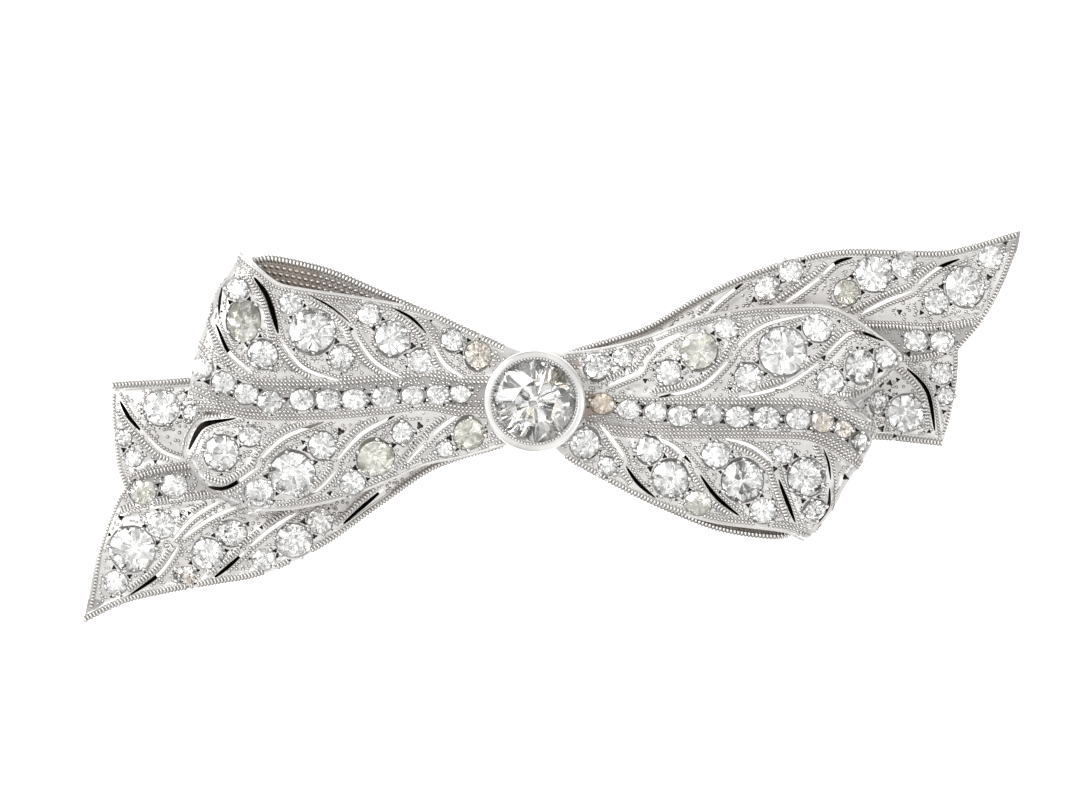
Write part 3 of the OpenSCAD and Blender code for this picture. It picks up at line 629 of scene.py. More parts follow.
def curve_through(points, step=0.1):
    """A smooth curve through the points, in steps of about that length."""
    p = np.array(points, float)
    last = len(p) - 1
    rows = [p[0]]
    for i in range(last):
        a, b, c, d = (p[min(max(i + k, 0), last)] for k in (-1, 0, 1, 2))
        count = max(2, round(float(np.linalg.norm(c - b)) / step))
        rows += [catmull_rom(a, b, c, d, u) for u in np.arange(1, count + 1) / count]
    return np.array(rows)


def lengths_along(points):
    """Distance from the first point to each one, along them."""
    steps = np.linalg.norm(np.diff(points, axis=0), axis=1)
    return np.concatenate([[0], np.cumsum(steps)])


def beside(curve, distance):
    """The curve moved sideways in plan, to its left if distance is above 0."""
    along = np.gradient(curve, axis=0)
    along /= np.linalg.norm(along, axis=1)[:, None]
    return curve + distance * np.stack([-along[:, 1], along[:, 0]], 1)


def lengthened(curve, extra):
    """The curve with a straight piece of that length added at each end."""
    first = (curve[0] - curve[3]) / np.linalg.norm(curve[0] - curve[3])
    last = (curve[-1] - curve[-4]) / np.linalg.norm(curve[-1] - curve[-4])
    return np.vstack([curve[0] + first * extra, curve, curve[-1] + last * extra])


def inside(points, polygon):
    """Which points lie inside the polygon."""
    x, y = points[:, 0], points[:, 1]
    found = np.zeros(len(points), bool)
    for (x1, y1), (x2, y2) in zip(polygon, np.roll(polygon, -1, axis=0)):
        crosses = (y1 > y) != (y2 > y)
        if crosses.any():
            at = x1 + (y - y1) * (x2 - x1) / (y2 - y1 if y2 != y1 else 1)
            found ^= crosses & (x < at)
    return found


def distance_to(points, curve):
    """Distance of each point from the curve, a row of plan points."""
    best = np.full(len(points), FAR)
    for a, b in zip(curve[:-1], curve[1:]):
        side = b - a
        share = np.clip((points - a) @ side / max(side @ side, 1e-12), 0, 1)
        best = np.minimum(best, np.linalg.norm(points - a - share[:, None] * side, axis=1))
    return best


def closed(loop):
    """The loop with its first point repeated at its end."""
    return np.vstack([loop, loop[:1]])


def near_loop(points, loop, reach):
    """Which points are within reach of a closed loop."""
    near = np.all((points > loop.min(axis=0) - reach) & (points < loop.max(axis=0) + reach), axis=1)
    near[near] = distance_to(points[near], closed(loop)) < reach
    return near


def smooth_step(x, low, high):
    """0 below low, 1 above high, and smooth between them."""
    u = np.clip((x - low) / (high - low), 0, 1)
    return u * u * (3 - 2 * u)


def from_photo(u, v):
    """Plan position of a pixel of the photograph."""
    return np.array([u - ORIGIN_PX[0], ORIGIN_PX[1] - v]) * MM_PER_PX


class Stone:
    """One small stone of a chart: its place in plan, its half axes and its tint."""

    def __init__(self, u, v, width, height, tint="white"):
        self.plan = from_photo(u, v)
        self.half_x = width / 2
        self.half_y = height / 2
        self.tint = tint

    @property
    def radius(self):
        """The mean of its half axes."""
        return (self.half_x + self.half_y) / 2


def fitted_stones(chart):
    """The chart's stones, made smaller where two would overlap."""
    stones = [Stone(*row) for row in chart]
    for _ in range(FIT_ROUNDS):
        for a, b in combinations(stones, 2):
            apart = np.linalg.norm(a.plan - b.plan)
            share = apart / (a.radius + b.radius + STONES_APART)
            if share < 1:
                for stone in (a, b):
                    stone.half_x *= share
                    stone.half_y *= share
    return stones


class Ribbon:
    """One ribbon of the bow as a surface, with what is pierced through it and set in it.

    rib_t is the rib's share of the way across, and bands are the rows of beads beside it. The windows are
    openings in what the front hides: a loop's own back, or the part of a tail under a loop. cover is the
    outline in plan of a ribbon that lies over this one.
    """

    def __init__(
        self, name, rows, end_shape, rib_t, front_end, lines, chart, bands, windows=(), cover=None
    ):
        self.name = name
        self.rows = np.array(rows)
        self.s_end = len(rows) - 1
        self.front_end = front_end
        self.is_loop = front_end < self.s_end
        self.rib_t = rib_t
        self.bands = bands
        self.cover = cover
        self.set_end_shape(end_shape)
        self.s_grid = np.linspace(0, self.s_end, STEPS_PER_ROW * self.s_end + 1)
        self.x_grid = lengths_along(self.point(self.s_grid, np.full_like(self.s_grid, rib_t)))
        rows_there = self.section(self.s_grid)
        self.width_grid = np.linalg.norm(rows_there[:, 3:6] - rows_there[:, 0:3], axis=1)
        self.front_guesses = self.guesses(0, self.front_end)
        if self.is_loop:
            self.back_guesses = self.guesses(self.front_end, self.s_end)
        self.lines = [self.pierced_line(slots) for slots in lines]
        self.windows = [curve_through(corners + corners[:1]) for corners in windows]
        self.stones = fitted_stones(chart)
        for stone in self.stones:
            self.seat(stone)
        self.pits = []
        self.find_pits()

    def set_end_shape(self, end_shape):
        """Keeps the end's shape with its corners slightly rounded."""
        at, by = np.array(end_shape).T
        self.end_at = np.linspace(0, 1, END_SAMPLES)
        padded = np.pad(np.interp(self.end_at, at, by), END_BLUR // 2, mode="edge")
        self.end_by = np.convolve(padded, np.ones(END_BLUR) / END_BLUR, "valid")
        self.end_by[[0, -1]] = by[[0, -1]]

    def section(self, s):
        """The section table's row at each s."""
        i = np.clip(np.floor(s).astype(int), 0, self.s_end - 1)
        a, b, c, d = (self.rows[np.clip(i + k, 0, self.s_end)] for k in (-1, 0, 1, 2))
        return catmull_rom(a, b, c, d, (s - i)[:, None])

    def point(self, s, t):
        """Points on the middle of the metal."""
        r = self.section(s)
        x = r[:, 0] + (r[:, 3] - r[:, 0]) * t + r[:, 6] * np.interp(t, self.end_at, self.end_by)
        y = r[:, 1] + (r[:, 4] - r[:, 1]) * t
        z = r[:, 2] + (r[:, 5] - r[:, 2]) * t + r[:, 7] * (1 - np.cos(4 * math.pi * t)) / 2
        return np.stack([x, y, z], 1)

    def slopes(self, s, t, step=SLOPE_STEP):
        """Changes of the point with s and with t."""
        s1, s0 = np.minimum(s + step, self.s_end), np.maximum(s - step, 0)
        t1, t0 = np.minimum(t + step, 1), np.maximum(t - step, 0)
        along = (self.point(s1, t) - self.point(s0, t)) / (s1 - s0)[:, None]
        across = (self.point(s, t1) - self.point(s, t0)) / (t1 - t0)[:, None]
        return along, across

    def normal(self, s, t):
        """Outward directions, up on the front and down on the back."""
        n = np.cross(*self.slopes(s, t, NORMAL_STEP))
        return n / np.linalg.norm(n, axis=1)[:, None]

    def guesses(self, first, last):
        """Points of a stretch of the ribbon, from which locate() starts: s, t and a tree of them."""
        steps_s, steps_t = GUESS_STEPS
        grids = np.meshgrid(np.linspace(first, last, steps_s), np.linspace(0, 1, steps_t))
        s, t = (grid.ravel() for grid in grids)
        plan = self.point(s, t)
        tree = kdtree.KDTree(len(plan))
        for i, p in enumerate(plan):
            tree.insert((p[0], p[1], 0), i)
        tree.balance()
        return s, t, tree

    def solve(self, targets, axis_1, axis_2, s, t):
        """(s, t) where the surface meets the lines through targets, square to the two axes."""
        most_s, most_t = MOST_MOVE
        for _ in range(SOLVE_ROUNDS):
            away = targets - self.point(s, t)
            along, across = self.slopes(s, t)
            a, b = (along * axis_1).sum(1), (across * axis_1).sum(1)
            c, d = (along * axis_2).sum(1), (across * axis_2).sum(1)
            e, f = (away * axis_1).sum(1), (away * axis_2).sum(1)
            det = a * d - b * c
            det = np.where(np.abs(det) < LEAST_DET, LEAST_DET, det)
            s = np.clip(s + np.clip((d * e - b * f) / det, -most_s, most_s), 0, self.s_end)
            t = np.clip(t + np.clip((a * f - c * e) / det, -most_t, most_t), 0, 1)
        return s, t

    def locate(self, plan, back=False):
        """(s, t) of places on the front or the back, from their plan positions."""
        guess_s, guess_t, tree = self.back_guesses if back else self.front_guesses
        found = [tree.find((x, y, 0))[1] for x, y in plan]
        targets = np.column_stack([plan, np.zeros(len(plan))])
        s, t = self.solve(targets, X_AXIS, Y_AXIS, guess_s[found], guess_t[found])
        return (np.maximum if back else np.minimum)(s, self.front_end), t

    def x_at(self, s):
        """Unrolled x at s."""
        return np.interp(s, self.s_grid, self.x_grid)

    def s_at(self, x):
        """s at an unrolled x."""
        return np.interp(x, self.x_grid, self.s_grid)

    def width_at(self, s):
        """The ribbon's width at s."""
        return np.interp(s, self.s_grid, self.width_grid)

    def to_flat(self, s, t):
        """Unrolled position of (s, t)."""
        return np.stack([self.x_at(s), (t - self.rib_t) * self.width_at(s)], 1)

    def from_flat(self, flat):
        """(s, t) of unrolled positions."""
        s = self.s_at(flat[:, 0])
        return s, np.clip(flat[:, 1] / self.width_at(s) + self.rib_t, 0, 1)

    def plan_to_flat(self, plan, back=False):
        """Unrolled position of places in plan, on the front or the back."""
        return self.to_flat(*self.locate(plan, back))

    def edges(self, s):
        """Unrolled y of edge a and edge b at s, a little inside the CAD model's outline."""
        width = self.width_at(s)
        return OUTLINE_INSET - self.rib_t * width, (1 - self.rib_t) * width - OUTLINE_INSET

    def outline(self):
        """The front's outline in plan."""
        steps_s, steps_t = OUTLINE_STEPS
        s = np.linspace(0, self.front_end, steps_s)
        t = np.linspace(0, 1, steps_t)
        parts = [
            self.point(s, np.zeros_like(s)),
            self.point(np.full_like(t, self.front_end), t),
            self.point(s, np.ones_like(s))[::-1],
        ]
        return closed(np.vstack(parts)[:, :2])

    def pierced_line(self, slots):
        """One line of slots: its whole curve, and each slot's outline and middle line, in plan."""
        corners = [[(r[0], r[1]), (r[2], r[3]), (r[4], r[5])] for r in slots]
        outlines, middles = [], []
        for row, three in zip(slots, corners):
            curve = curve_through(three, step=SLOT_STEP)
            share = lengths_along(curve) / lengths_along(curve)[-1]
            width = row[6] if len(row) > 6 else SLOT_W
            swell = SLOT_END_SHARE + (1 - SLOT_END_SHARE) * np.sin(math.pi * share) ** SLOT_SWELL
            half = width / 2 * swell
            sides = [curve + half[:, None] * (beside(curve, side) - curve) for side in (1, -1)]
            outlines.append(np.vstack([sides[0], sides[1][::-1]]))
            middles.append(np.vstack([curve, curve[::-1]]))
        return {"curve": curve_through(sum(corners, [])), "outlines": outlines, "middles": middles}

    def seat(self, stone):
        """Gives the stone its centre and axes in space, and the rings of its seat, unrolled."""
        s, t = self.locate(stone.plan[None])
        stone.centre = self.point(s, t)[0]
        stone.normal = self.normal(s, t)[0]
        stone.axis_x = X_AXIS - stone.normal * stone.normal[0]
        stone.axis_x /= np.linalg.norm(stone.axis_x)
        stone.axis_y = np.cross(stone.normal, stone.axis_x)
        turns = np.arange(SEAT_POINTS) * 2 * math.pi / SEAT_POINTS
        stone.rings = []
        stone.seat_h = -SEAT_SLOPE * stone.radius - SEAT_GAP
        for grow, share in ((SEAT_GAP, 1), (0, SEAT_HOLE_SHARE)):
            half_x, half_y = stone.half_x * share + grow, stone.half_y * share + grow
            targets = (
                stone.centre
                + np.cos(turns)[:, None] * half_x * stone.axis_x
                + np.sin(turns)[:, None] * half_y * stone.axis_y
            )
            many = np.ones(SEAT_POINTS)
            found = self.solve(targets, stone.axis_x, stone.axis_y, s * many, t * many)
            stone.rings.append(self.to_flat(*found))

    def find_pits(self):
        """Puts blind drill holes where two stones meet, where the chart has them and beside stones."""
        for a, b in combinations(self.stones, 2):
            way = b.plan - a.plan
            apart = np.linalg.norm(way)
            if apart - a.radius - b.radius > PIT_REACH:
                continue
            way /= apart
            across = np.array([-way[1], way[0]])
            for side in (1, -1):
                radius = PIT_R * rng.uniform(*PIT_SPREAD)
                reach_a, reach_b = (stone.radius + radius + PIT_MARGIN for stone in (a, b))
                along = (apart**2 + reach_a**2 - reach_b**2) / (2 * apart)
                if reach_a <= abs(along):
                    continue
                aside = math.sqrt(reach_a**2 - along**2)
                place = a.plan + way * along + across * aside * side
                inward = -across * side
                pit = Pit(place, radius, math.atan2(inward[1], inward[0]))
                if self.clear(self.plan_to_flat(place[None]), radius + PIT_GAP)[0]:
                    self.pits.append(pit)
        extra = []
        for u, v, radius in DRILL_HOLES[self.name]:
            extra.append(Pit(from_photo(u, v), radius, rng.uniform(0, math.pi)))
        for stone in self.stones:
            for _ in range(SPECK_TRIES):
                angle = rng.uniform(0, 2 * math.pi)
                radius = rng.uniform(*SPECK_R)
                reach = stone.radius + radius + PIT_MARGIN
                place = stone.plan + reach * np.array([math.cos(angle), math.sin(angle)])
                extra.append(Pit(place, radius, angle + math.pi))
        for pit in extra:
            s, t = self.locate(pit.plan[None])
            on_front = np.linalg.norm(self.point(s, t)[0, :2] - pit.plan) < MOST_MISS
            if on_front and self.clear(self.to_flat(s, t), pit.radius + EXTRA_PIT_GAP)[0]:
                self.pits.append(pit)

    def clear(self, flat, margin):
        """Which places have nothing but metal within a margin of them, and no ribbon over them."""
        s, t = self.from_flat(flat)
        low, high = self.edges(s)
        ok = (flat[:, 1] > low + EDGE_CLEAR) & (flat[:, 1] < high - EDGE_CLEAR)
        plan = self.point(s, t)[:, :2]
        ok &= np.all(np.abs(plan) + margin < BEAD_LIMITS, axis=1)
        front = s <= self.front_end
        for hole in self.stones + self.pits:
            ok &= ~front | (np.linalg.norm(plan - hole.plan, axis=1) > hole.radius + margin)
        slots = [(outline, front) for line in self.lines for outline in line["outlines"]]
        windows = [(outline, ~front if self.is_loop else front) for outline in self.windows]
        for outline, there in slots + windows:
            near = distance_to(plan, closed(outline)) < margin * OPENING_MARGIN_SHARE
            ok &= ~((inside(plan, outline) | near) & there)
        if self.cover is not None:
            ok &= ~(inside(plan, self.cover) & (distance_to(plan, self.cover) > COVER_OVERLAP))
        return ok

    def relief(self, flat):
        """Height of the worked surface over the ribbon's own, at unrolled positions."""
        s, t = self.from_flat(flat)
        plan = self.point(s, t)[:, :2]
        front = s <= self.front_end
        low, high = self.edges(s)
        edge = np.minimum(flat[:, 1] - low, high - flat[:, 1])
        if not self.is_loop:
            edge = np.minimum(edge, self.x_grid[-1] - flat[:, 0])
        rib = np.abs(flat[:, 1])
        gap = np.full(len(flat), FAR)
        for stone in self.stones:
            gap = np.minimum(gap, np.linalg.norm(plan - stone.plan, axis=1) - stone.radius)
        strip = np.full(len(flat), FAR)
        for line in self.lines:
            strip = np.minimum(strip, distance_to(plan, line["curve"][::2]))
        # Each level's height, the distance it depends on, where it starts to fade, where it ends, and
        # which side has it
        levels = [
            (COLLAR_H, gap, COLLAR_W / 2, COLLAR_W * 2, front),
            (STRIP_H, strip, STRIP_W, STRIP_W + RAMP_W, front),
            (RIB_H, rib, RIB_HALF_W, RIB_HALF_W + RAMP_W, front),
            (CHANNEL_H, rib, CHANNEL_HALF_W, CHANNEL_HALF_W + CHANNEL_RAMP_W, front),
            (BORDER_H, edge, BORDER_W, BORDER_W + RAMP_W, 1),
        ]
        height = np.full(len(flat), FIELD_H)
        for level, distance, start, end, where in levels:
            height += (level - height) * (1 - smooth_step(distance, start, end)) * where
        return height

    def lift(self, flat, height, side=1):
        """Points and outward directions at a height over the front, or over the inner side."""
        s, t = self.from_flat(flat)
        n = self.normal(s, t) * side
        return self.point(s, t) + n * (SHEET_T / 2 + height)[:, None], n


def boundary(ribbon):
    """The ribbon's outline, unrolled, in steps of the mesh."""
    x_last = ribbon.x_grid[-1] - OUTLINE_INSET
    x = np.linspace(0, x_last, round(x_last / MESH_STEP) + 1)
    low, high = ribbon.edges(ribbon.s_at(x))
    ends = []
    for i in (0, -1):
        y = np.linspace(low[i], high[i], round((high[i] - low[i]) / MESH_STEP) + 1)[1:-1]
        ends.append(np.column_stack([np.full(len(y), x[i]), y]))
    start, end = ends
    return np.vstack([np.column_stack([x, low]), end, np.column_stack([x, high])[::-1], start[::-1]])


def lattice(ribbon):
    """Staggered mesh points that fill the ribbon, unrolled, a little inside its outline."""
    rows = []
    row_step = MESH_STEP * LATTICE_ROW
    for k in range(1, int((ribbon.x_grid[-1] - OUTLINE_INSET) / row_step)):
        x = k * row_step
        low, high = ribbon.edges(ribbon.s_at(x))
        first = low + MESH_STEP * (1 + k % 2) / 2
        y = np.arange(first, high - MESH_STEP * LATTICE_MARGIN, MESH_STEP)
        rows.append(np.column_stack([np.full(len(y), x), y]))
    return np.vstack(rows)


def pit_rings(ribbon, pit):
    """The two rings of a drill hole, unrolled: its mouth and its floor."""
    turns = np.arange(PIT_POINTS) * 2 * math.pi / PIT_POINTS
    shape = np.stack([np.cos(turns), np.sin(turns)], 1)
    shape *= (1 + PIT_CORNER * np.cos(3 * (turns - pit.turn)))[:, None] * pit.radius
    return [ribbon.plan_to_flat(pit.plan + shape * share) for share in (1, PIT_FLOOR_SHARE)]


def triangulated(ribbon):
    """The pierced ribbon's mesh, unrolled, and what the sheet needs to know of its points.

    It gives the points, the triangles, those that close a slot at the back as painted shadow, the set of
    kinds of each point, its height if it lies deeper than the worked surface, which is else NaN, and how
    far its foot on the inner side lies from it.
    """
    cuts = []
    for line in ribbon.lines:
        for outline, middle in zip(line["outlines"], line["middles"]):
            flat = ribbon.plan_to_flat(outline)
            lean = (ribbon.plan_to_flat(middle) - flat) * SLOT_LEAN
            cuts.append(MeshLoop(flat, "opening", lean=lean))
    for window in ribbon.windows:
        flat = ribbon.plan_to_flat(window[:-1], back=ribbon.is_loop)
        cuts.append(MeshLoop(flat, "opening"))
    openings = [loop.points for loop in cuts]
    seats = [(stone.rings, "seat", stone.seat_h) for stone in ribbon.stones]
    pits = [(pit_rings(ribbon, pit), "pit", PIT_H) for pit in ribbon.pits]
    for (mouth, floor), kind, depth in seats + pits:
        cuts += [MeshLoop(mouth, "mouth"), MeshLoop(floor, kind, depth)]
    holes = openings + [stone.rings[1] for stone in ribbon.stones]
    grid = lattice(ribbon)
    for ring in [rings[0] for rings, _, _ in seats + pits] + holes:
        grid = grid[~inside(grid, ring)]
    for loop in cuts:
        grid = grid[~near_loop(grid, loop.points, MESH_STEP * LOOP_CLEAR)]
    loops = [MeshLoop(boundary(ribbon), "outline"), *cuts]
    edges, kinds, depths, leans = [], [], [], []
    for loop in loops:
        start, count = len(kinds), len(loop.points)
        edges += [(start + k, start + (k + 1) % count) for k in range(count)]
        kinds += [loop.kind] * count
        depths += [loop.depth] * count
        leans.append(np.zeros((count, 2)) + loop.lean)
    points = np.vstack([loop.points for loop in loops] + [grid])
    kinds += ["grid"] * len(grid)
    depths += [math.nan] * len(grid)
    leans = np.vstack([*leans, np.zeros_like(grid)])
    verts, _, faces, origins, _, _ = geometry.delaunay_2d_cdt(
        [Vector(p) for p in points.tolist()], edges, [], 1, MERGE_REACH
    )
    flat = np.array([tuple(v) for v in verts])
    found = [{kinds[i] for i in origin} for origin in origins]
    depth = np.array([depths[origin[0]] if origin else math.nan for origin in origins])
    lean = np.array([leans[origin[0]] if origin else (0, 0) for origin in origins])
    triangles = np.array([tuple(f) for f in faces])
    middles = flat[triangles].mean(axis=1)
    keep = np.ones(len(triangles), bool)
    for hole in holes:
        keep &= ~inside(middles, hole)
    s, t = ribbon.from_flat(middles)
    plan = ribbon.point(s, t)[:, :2]
    keep &= np.linalg.norm(plan - KNOT, axis=1) > KNOT_OPENING_R
    # The backs that close these slots paint the shadow seen down a narrow slot
    shadow_backs = ~keep & in_spots(plan, SHADOW_BACKED) & (s <= ribbon.front_end)
    shadow_backs &= np.any([inside(middles, hole) for hole in openings], axis=0)
    return flat, triangles[keep], triangles[shadow_backs], found, depth, lean


def make_object(name, points, faces, materials, face_materials=None, smooth=None):
    """A piece on the brooch, from points in millimetres. smooth is the sharpest smoothed angle."""
    mesh = bpy.data.meshes.new(name)
    mesh.from_pydata((np.asarray(points) * MM).tolist(), [], [list(map(int, f)) for f in faces])
    for material in materials:
        mesh.materials.append(material)
    if face_materials is not None:
        mesh.polygons.foreach_set("material_index", np.asarray(face_materials, np.int32))
    if smooth is not None:
        mesh.shade_smooth()
        mesh.set_sharp_from_angle(angle=math.radians(smooth))
    mesh.validate()
    piece = bpy.data.objects.new(name, mesh)
    bpy.context.collection.objects.link(piece)
    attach(piece, BODY)
    return piece


def turned_up(flat, triangles):
    """The unrolled triangles, each anticlockwise."""
    corner = flat[triangles]
    area = np.cross(corner[:, 1] - corner[:, 0], corner[:, 2] - corner[:, 0])
    return np.where((area < 0)[:, None], triangles[:, ::-1], triangles)


def in_spots(plan, spots):
    """Which places lie in any of the spots, each of them [x, y, half_x, half_y]."""
    found = np.zeros(len(plan), bool)
    for x, y, half_x, half_y in spots:
        found |= np.linalg.norm((plan - [x, y]) / [half_x, half_y], axis=1) < 1
    return found


def straight_down(ribbon, flat):
    """How far the inner side moves along itself so that the slots run straight down, as they are sawn."""
    s, t = ribbon.from_flat(flat)
    normals = ribbon.normal(s, t)
    low, high = ribbon.edges(s)
    edge = np.minimum(flat[:, 1] - low, high - flat[:, 1])
    level = smooth_step(normals[:, 2], *UPRIGHT_Z) * smooth_step(edge, *UPRIGHT_EDGE)
    aside = normals[:, :2] * ((SHEET_T + ribbon.relief(flat)) * level)[:, None]
    down = -(aside * normals[:, :2]).sum(1) / np.maximum(normals[:, 2], UPRIGHT_Z[0])
    return np.column_stack([aside, down])


def sheet_kinds(ribbon, middles, in_pit):
    """The materials of a sheet's outer and inner triangles, as numbers."""
    places, normals = ribbon.lift(middles, np.zeros(len(middles)))
    plan = places[:, :2]
    s, _ = ribbon.from_flat(middles)
    # Painted shade: steep faces, which would mirror the pale floor, get the darker metal
    outer = np.where(normals[:, 2] < STEEP_Z, DIM_SHADE_KIND, OUTER_KIND)
    # The rib's sunken channel is painted darker, in the same darker metal
    outer[(np.abs(middles[:, 1]) < CHANNEL_HALF_W) & (s < ribbon.front_end)] = DIM_SHADE_KIND
    # Painted shade at the tails' tips
    outer[in_spots(plan, TIP_SHADE)] = DIM_SHADE_KIND
    # Painted shade beside the collet, in the inner side's darker metal
    outer[in_spots(plan, SHADED)] = INNER_SHADE_KIND
    # Painted shade on the pits' floors
    outer[in_pit] = RECESS_SHADE_KIND
    # Painted shade: the inner side round a loop's fold is near-black
    in_fold = (np.abs(s - ribbon.front_end) < FOLD_REACH) & ribbon.is_loop
    # Painted shade: the rest of the inner side is darker brownish metal
    inner = np.where(in_fold, RECESS_SHADE_KIND, INNER_SHADE_KIND)
    # Painted light: a lighter stretch inside the left loop's back
    inner[in_spots(plan, LIT_INSIDE) & (s > ribbon.front_end)] = DIM_SHADE_KIND
    return outer, inner


def sheet_piece(ribbon, materials):
    """The ribbon's metal, pierced, with its relief on the outer side."""
    flat, triangles, shadow_backs, point_kinds, depth, lean = triangulated(ribbon)
    seat, pit, outline = (
        np.array([kind in kinds for kinds in point_kinds]) for kind in ("seat", "pit", "outline")
    )
    top, _ = ribbon.lift(flat, np.where(np.isnan(depth), ribbon.relief(flat), depth))
    bottom, _ = ribbon.lift(flat + lean, np.zeros(len(flat)), side=-1)
    bottom += straight_down(ribbon, flat)
    count = len(flat)
    triangles, shadow_backs = (turned_up(flat, group) for group in (triangles, shadow_backs))
    sides = set()
    for a, b, c in triangles.tolist():
        sides |= {(a, b), (b, c), (c, a)}
    sides = sorted(side for side in sides if side[::-1] not in sides)
    faces = triangles.tolist()
    for group in (triangles, shadow_backs):
        faces += (group[:, ::-1] + count).tolist()
    faces += [(a, a + count, b + count, b) for a, b in sides]
    outer, inner = sheet_kinds(ribbon, flat[triangles].mean(axis=1), pit[triangles].any(axis=1))
    # Painted shade: the walls of slots and windows are near-black; the outer edge and the seats keep the
    # ribbon metal
    walls = [
        OUTER_KIND if (outline[a] and outline[b]) or seat[a] else RECESS_SHADE_KIND for a, b in sides
    ]
    # The slots' backs take the recess metal, as painted shadow
    kinds = np.concatenate([outer, inner, [RECESS_SHADE_KIND] * len(shadow_backs), walls])
    points = np.vstack([top, bottom])
    piece = make_object(
        f"{ribbon.name}_sheet", points, faces, materials, kinds, SHEET_SMOOTH
    )
    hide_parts("ribbon_bow")


def dome():
    """A bead's points, how far each reaches out for the foot, its faces, and which carry the painted
    shade at its foot.
    """
    turns = np.arange(BEAD_SIDES) * 2 * math.pi / BEAD_SIDES
    circle = np.stack([np.cos(turns), np.sin(turns), np.zeros(BEAD_SIDES)], 1)
    rings = [circle * share + [0, 0, z] for share, z in BEAD_PROFILE]
    points = np.vstack(rings + [[0, 0, 1]])
    reach = np.zeros_like(points)
    reach[:BEAD_SIDES] = circle * FOOT_W
    faces = []
    for ring in range(len(BEAD_PROFILE) - 1):
        for k in range(BEAD_SIDES):
            a, b = ring * BEAD_SIDES + k, ring * BEAD_SIDES + (k + 1) % BEAD_SIDES
            faces.append((a, b, b + BEAD_SIDES, a + BEAD_SIDES))
    first = (len(BEAD_PROFILE) - 1) * BEAD_SIDES
    faces += [(first + k, first + (k + 1) % BEAD_SIDES, len(points) - 1) for k in range(BEAD_SIDES)]
    return points, reach, faces, [1] * BEAD_SIDES + [0] * (len(faces) - BEAD_SIDES)


# A bead's foot faces take the second metal, as painted shade between beads
DOME_POINTS, DOME_REACH, DOME_FACES, DOME_KINDS = dome()
STEEP_SHADE_KINDS = [kind or 2 for kind in DOME_KINDS]


class Beads:
    """Beads gathered from many rows, to be made as one piece."""

    def __init__(self):
        self.points = []
        self.faces = []
        self.kinds = []
        self.count = 0
        self.cells = {}

    def cell(self, place):
        return tuple(math.floor(v / BEAD_CELL) for v in place)

    def is_free(self, place, gap):
        """Whether no bead marked so far is nearer to the place than gap."""
        i, j, k = self.cell(place)
        for di, dj, dk in product((-1, 0, 1), repeat=3):
            for other in self.cells.get((i + di, j + dj, k + dk), ()):
                if np.linalg.norm(place - other) < gap:
                    return False
        return True

    def mark(self, places):
        for place in places:
            self.cells.setdefault(self.cell(place), []).append(place)

    def add_mesh(self, points, faces, kinds):
        self.points.append(points)
        self.faces += [tuple(self.count + k for k in face) for face in faces]
        self.kinds += kinds
        self.count += len(points)

    def add(self, centres, normals, tangents, along, across, height):
        """Beads with these half sizes, in arrays of one row a bead."""
        tangents = tangents - normals * (tangents * normals).sum(1)[:, None]
        tangents /= np.linalg.norm(tangents, axis=1)[:, None]
        sides = np.cross(normals, tangents)
        sizes = (np.broadcast_to(v, len(centres))[:, None, None] for v in (along, across, height))
        along, across, height = sizes
        ball, reach = DOME_POINTS[None], DOME_REACH[None]
        points = (
            centres[:, None]
            + tangents[:, None] * (ball[:, :, 0:1] * along + reach[:, :, 0:1])
            + sides[:, None] * (ball[:, :, 1:2] * across + reach[:, :, 1:2])
            + normals[:, None] * ball[:, :, 2:3] * height
        )
        for bead, normal in zip(points, normals):
            # Steep beads get painted shade in the darker bead metal
            kinds = STEEP_SHADE_KINDS if normal[2] < STEEP_BEAD_Z else DOME_KINDS
            self.add_mesh(bead, DOME_FACES, kinds)
        self.mark(centres)

    def row(self, ribbon, flat, bead, side=1):
        """A row of beads along an unrolled curve, without those that have no room."""
        rough, _ = ribbon.lift(flat, np.zeros(len(flat)), side)
        run = lengths_along(rough)
        count = int(run[-1] / bead.pitch)
        if count < 2:
            return
        at = (np.arange(count) + 0.5) * run[-1] / count
        flat = np.column_stack([np.interp(at, run, flat[:, k]) for k in (0, 1)])
        height = ribbon.relief(flat) if side == 1 else np.zeros(count)
        centres, normals = ribbon.lift(flat, height, side)
        tangents = np.gradient(centres, axis=0)
        keep = ribbon.clear(flat, bead.along)
        keep &= [self.is_free(place, bead.across + BEAD_GAP) for place in centres]
        if keep.any():
            self.add(centres[keep], normals[keep], tangents[keep], bead.along, bead.across, bead.height)

    def wire(self, ribbon, flat):
        """A thin rounded wire along an unrolled curve, broken where it has no room."""
        centres, normals = ribbon.lift(flat, ribbon.relief(flat))
        tangents = np.gradient(centres, axis=0)
        sides = np.cross(normals, tangents)
        sides /= np.linalg.norm(sides, axis=1)[:, None]
        rings = [
            centres + sides * (a * WIRE_HALF_W) + normals * (b * WIRE_H) for a, b in WIRE_PROFILE
        ]
        points = np.stack(rings, 1).reshape(-1, 3)
        free = ribbon.clear(flat, WIRE_HALF_W)
        n = len(WIRE_PROFILE)
        faces = [
            (i * n + j, (i + 1) * n + j, (i + 1) * n + j + 1, i * n + j + 1)
            for i in range(len(flat) - 1)
            if free[i] and free[i + 1]
            for j in range(n - 1)
        ]
        self.add_mesh(points, faces, [0] * len(faces))
        self.mark(centres)

    def piece(self, name, materials, slot):
        points = np.vstack(self.points)
        make_object(name, points, self.faces, materials, self.kinds, BEAD_SMOOTH)


def band(ribbon, y, first, last):
    """An unrolled curve beside the rib, at y from it."""
    x = np.arange(ribbon.x_at(first), ribbon.x_at(last), ROW_STEP)
    return np.column_stack([x, np.full(len(x), y)])


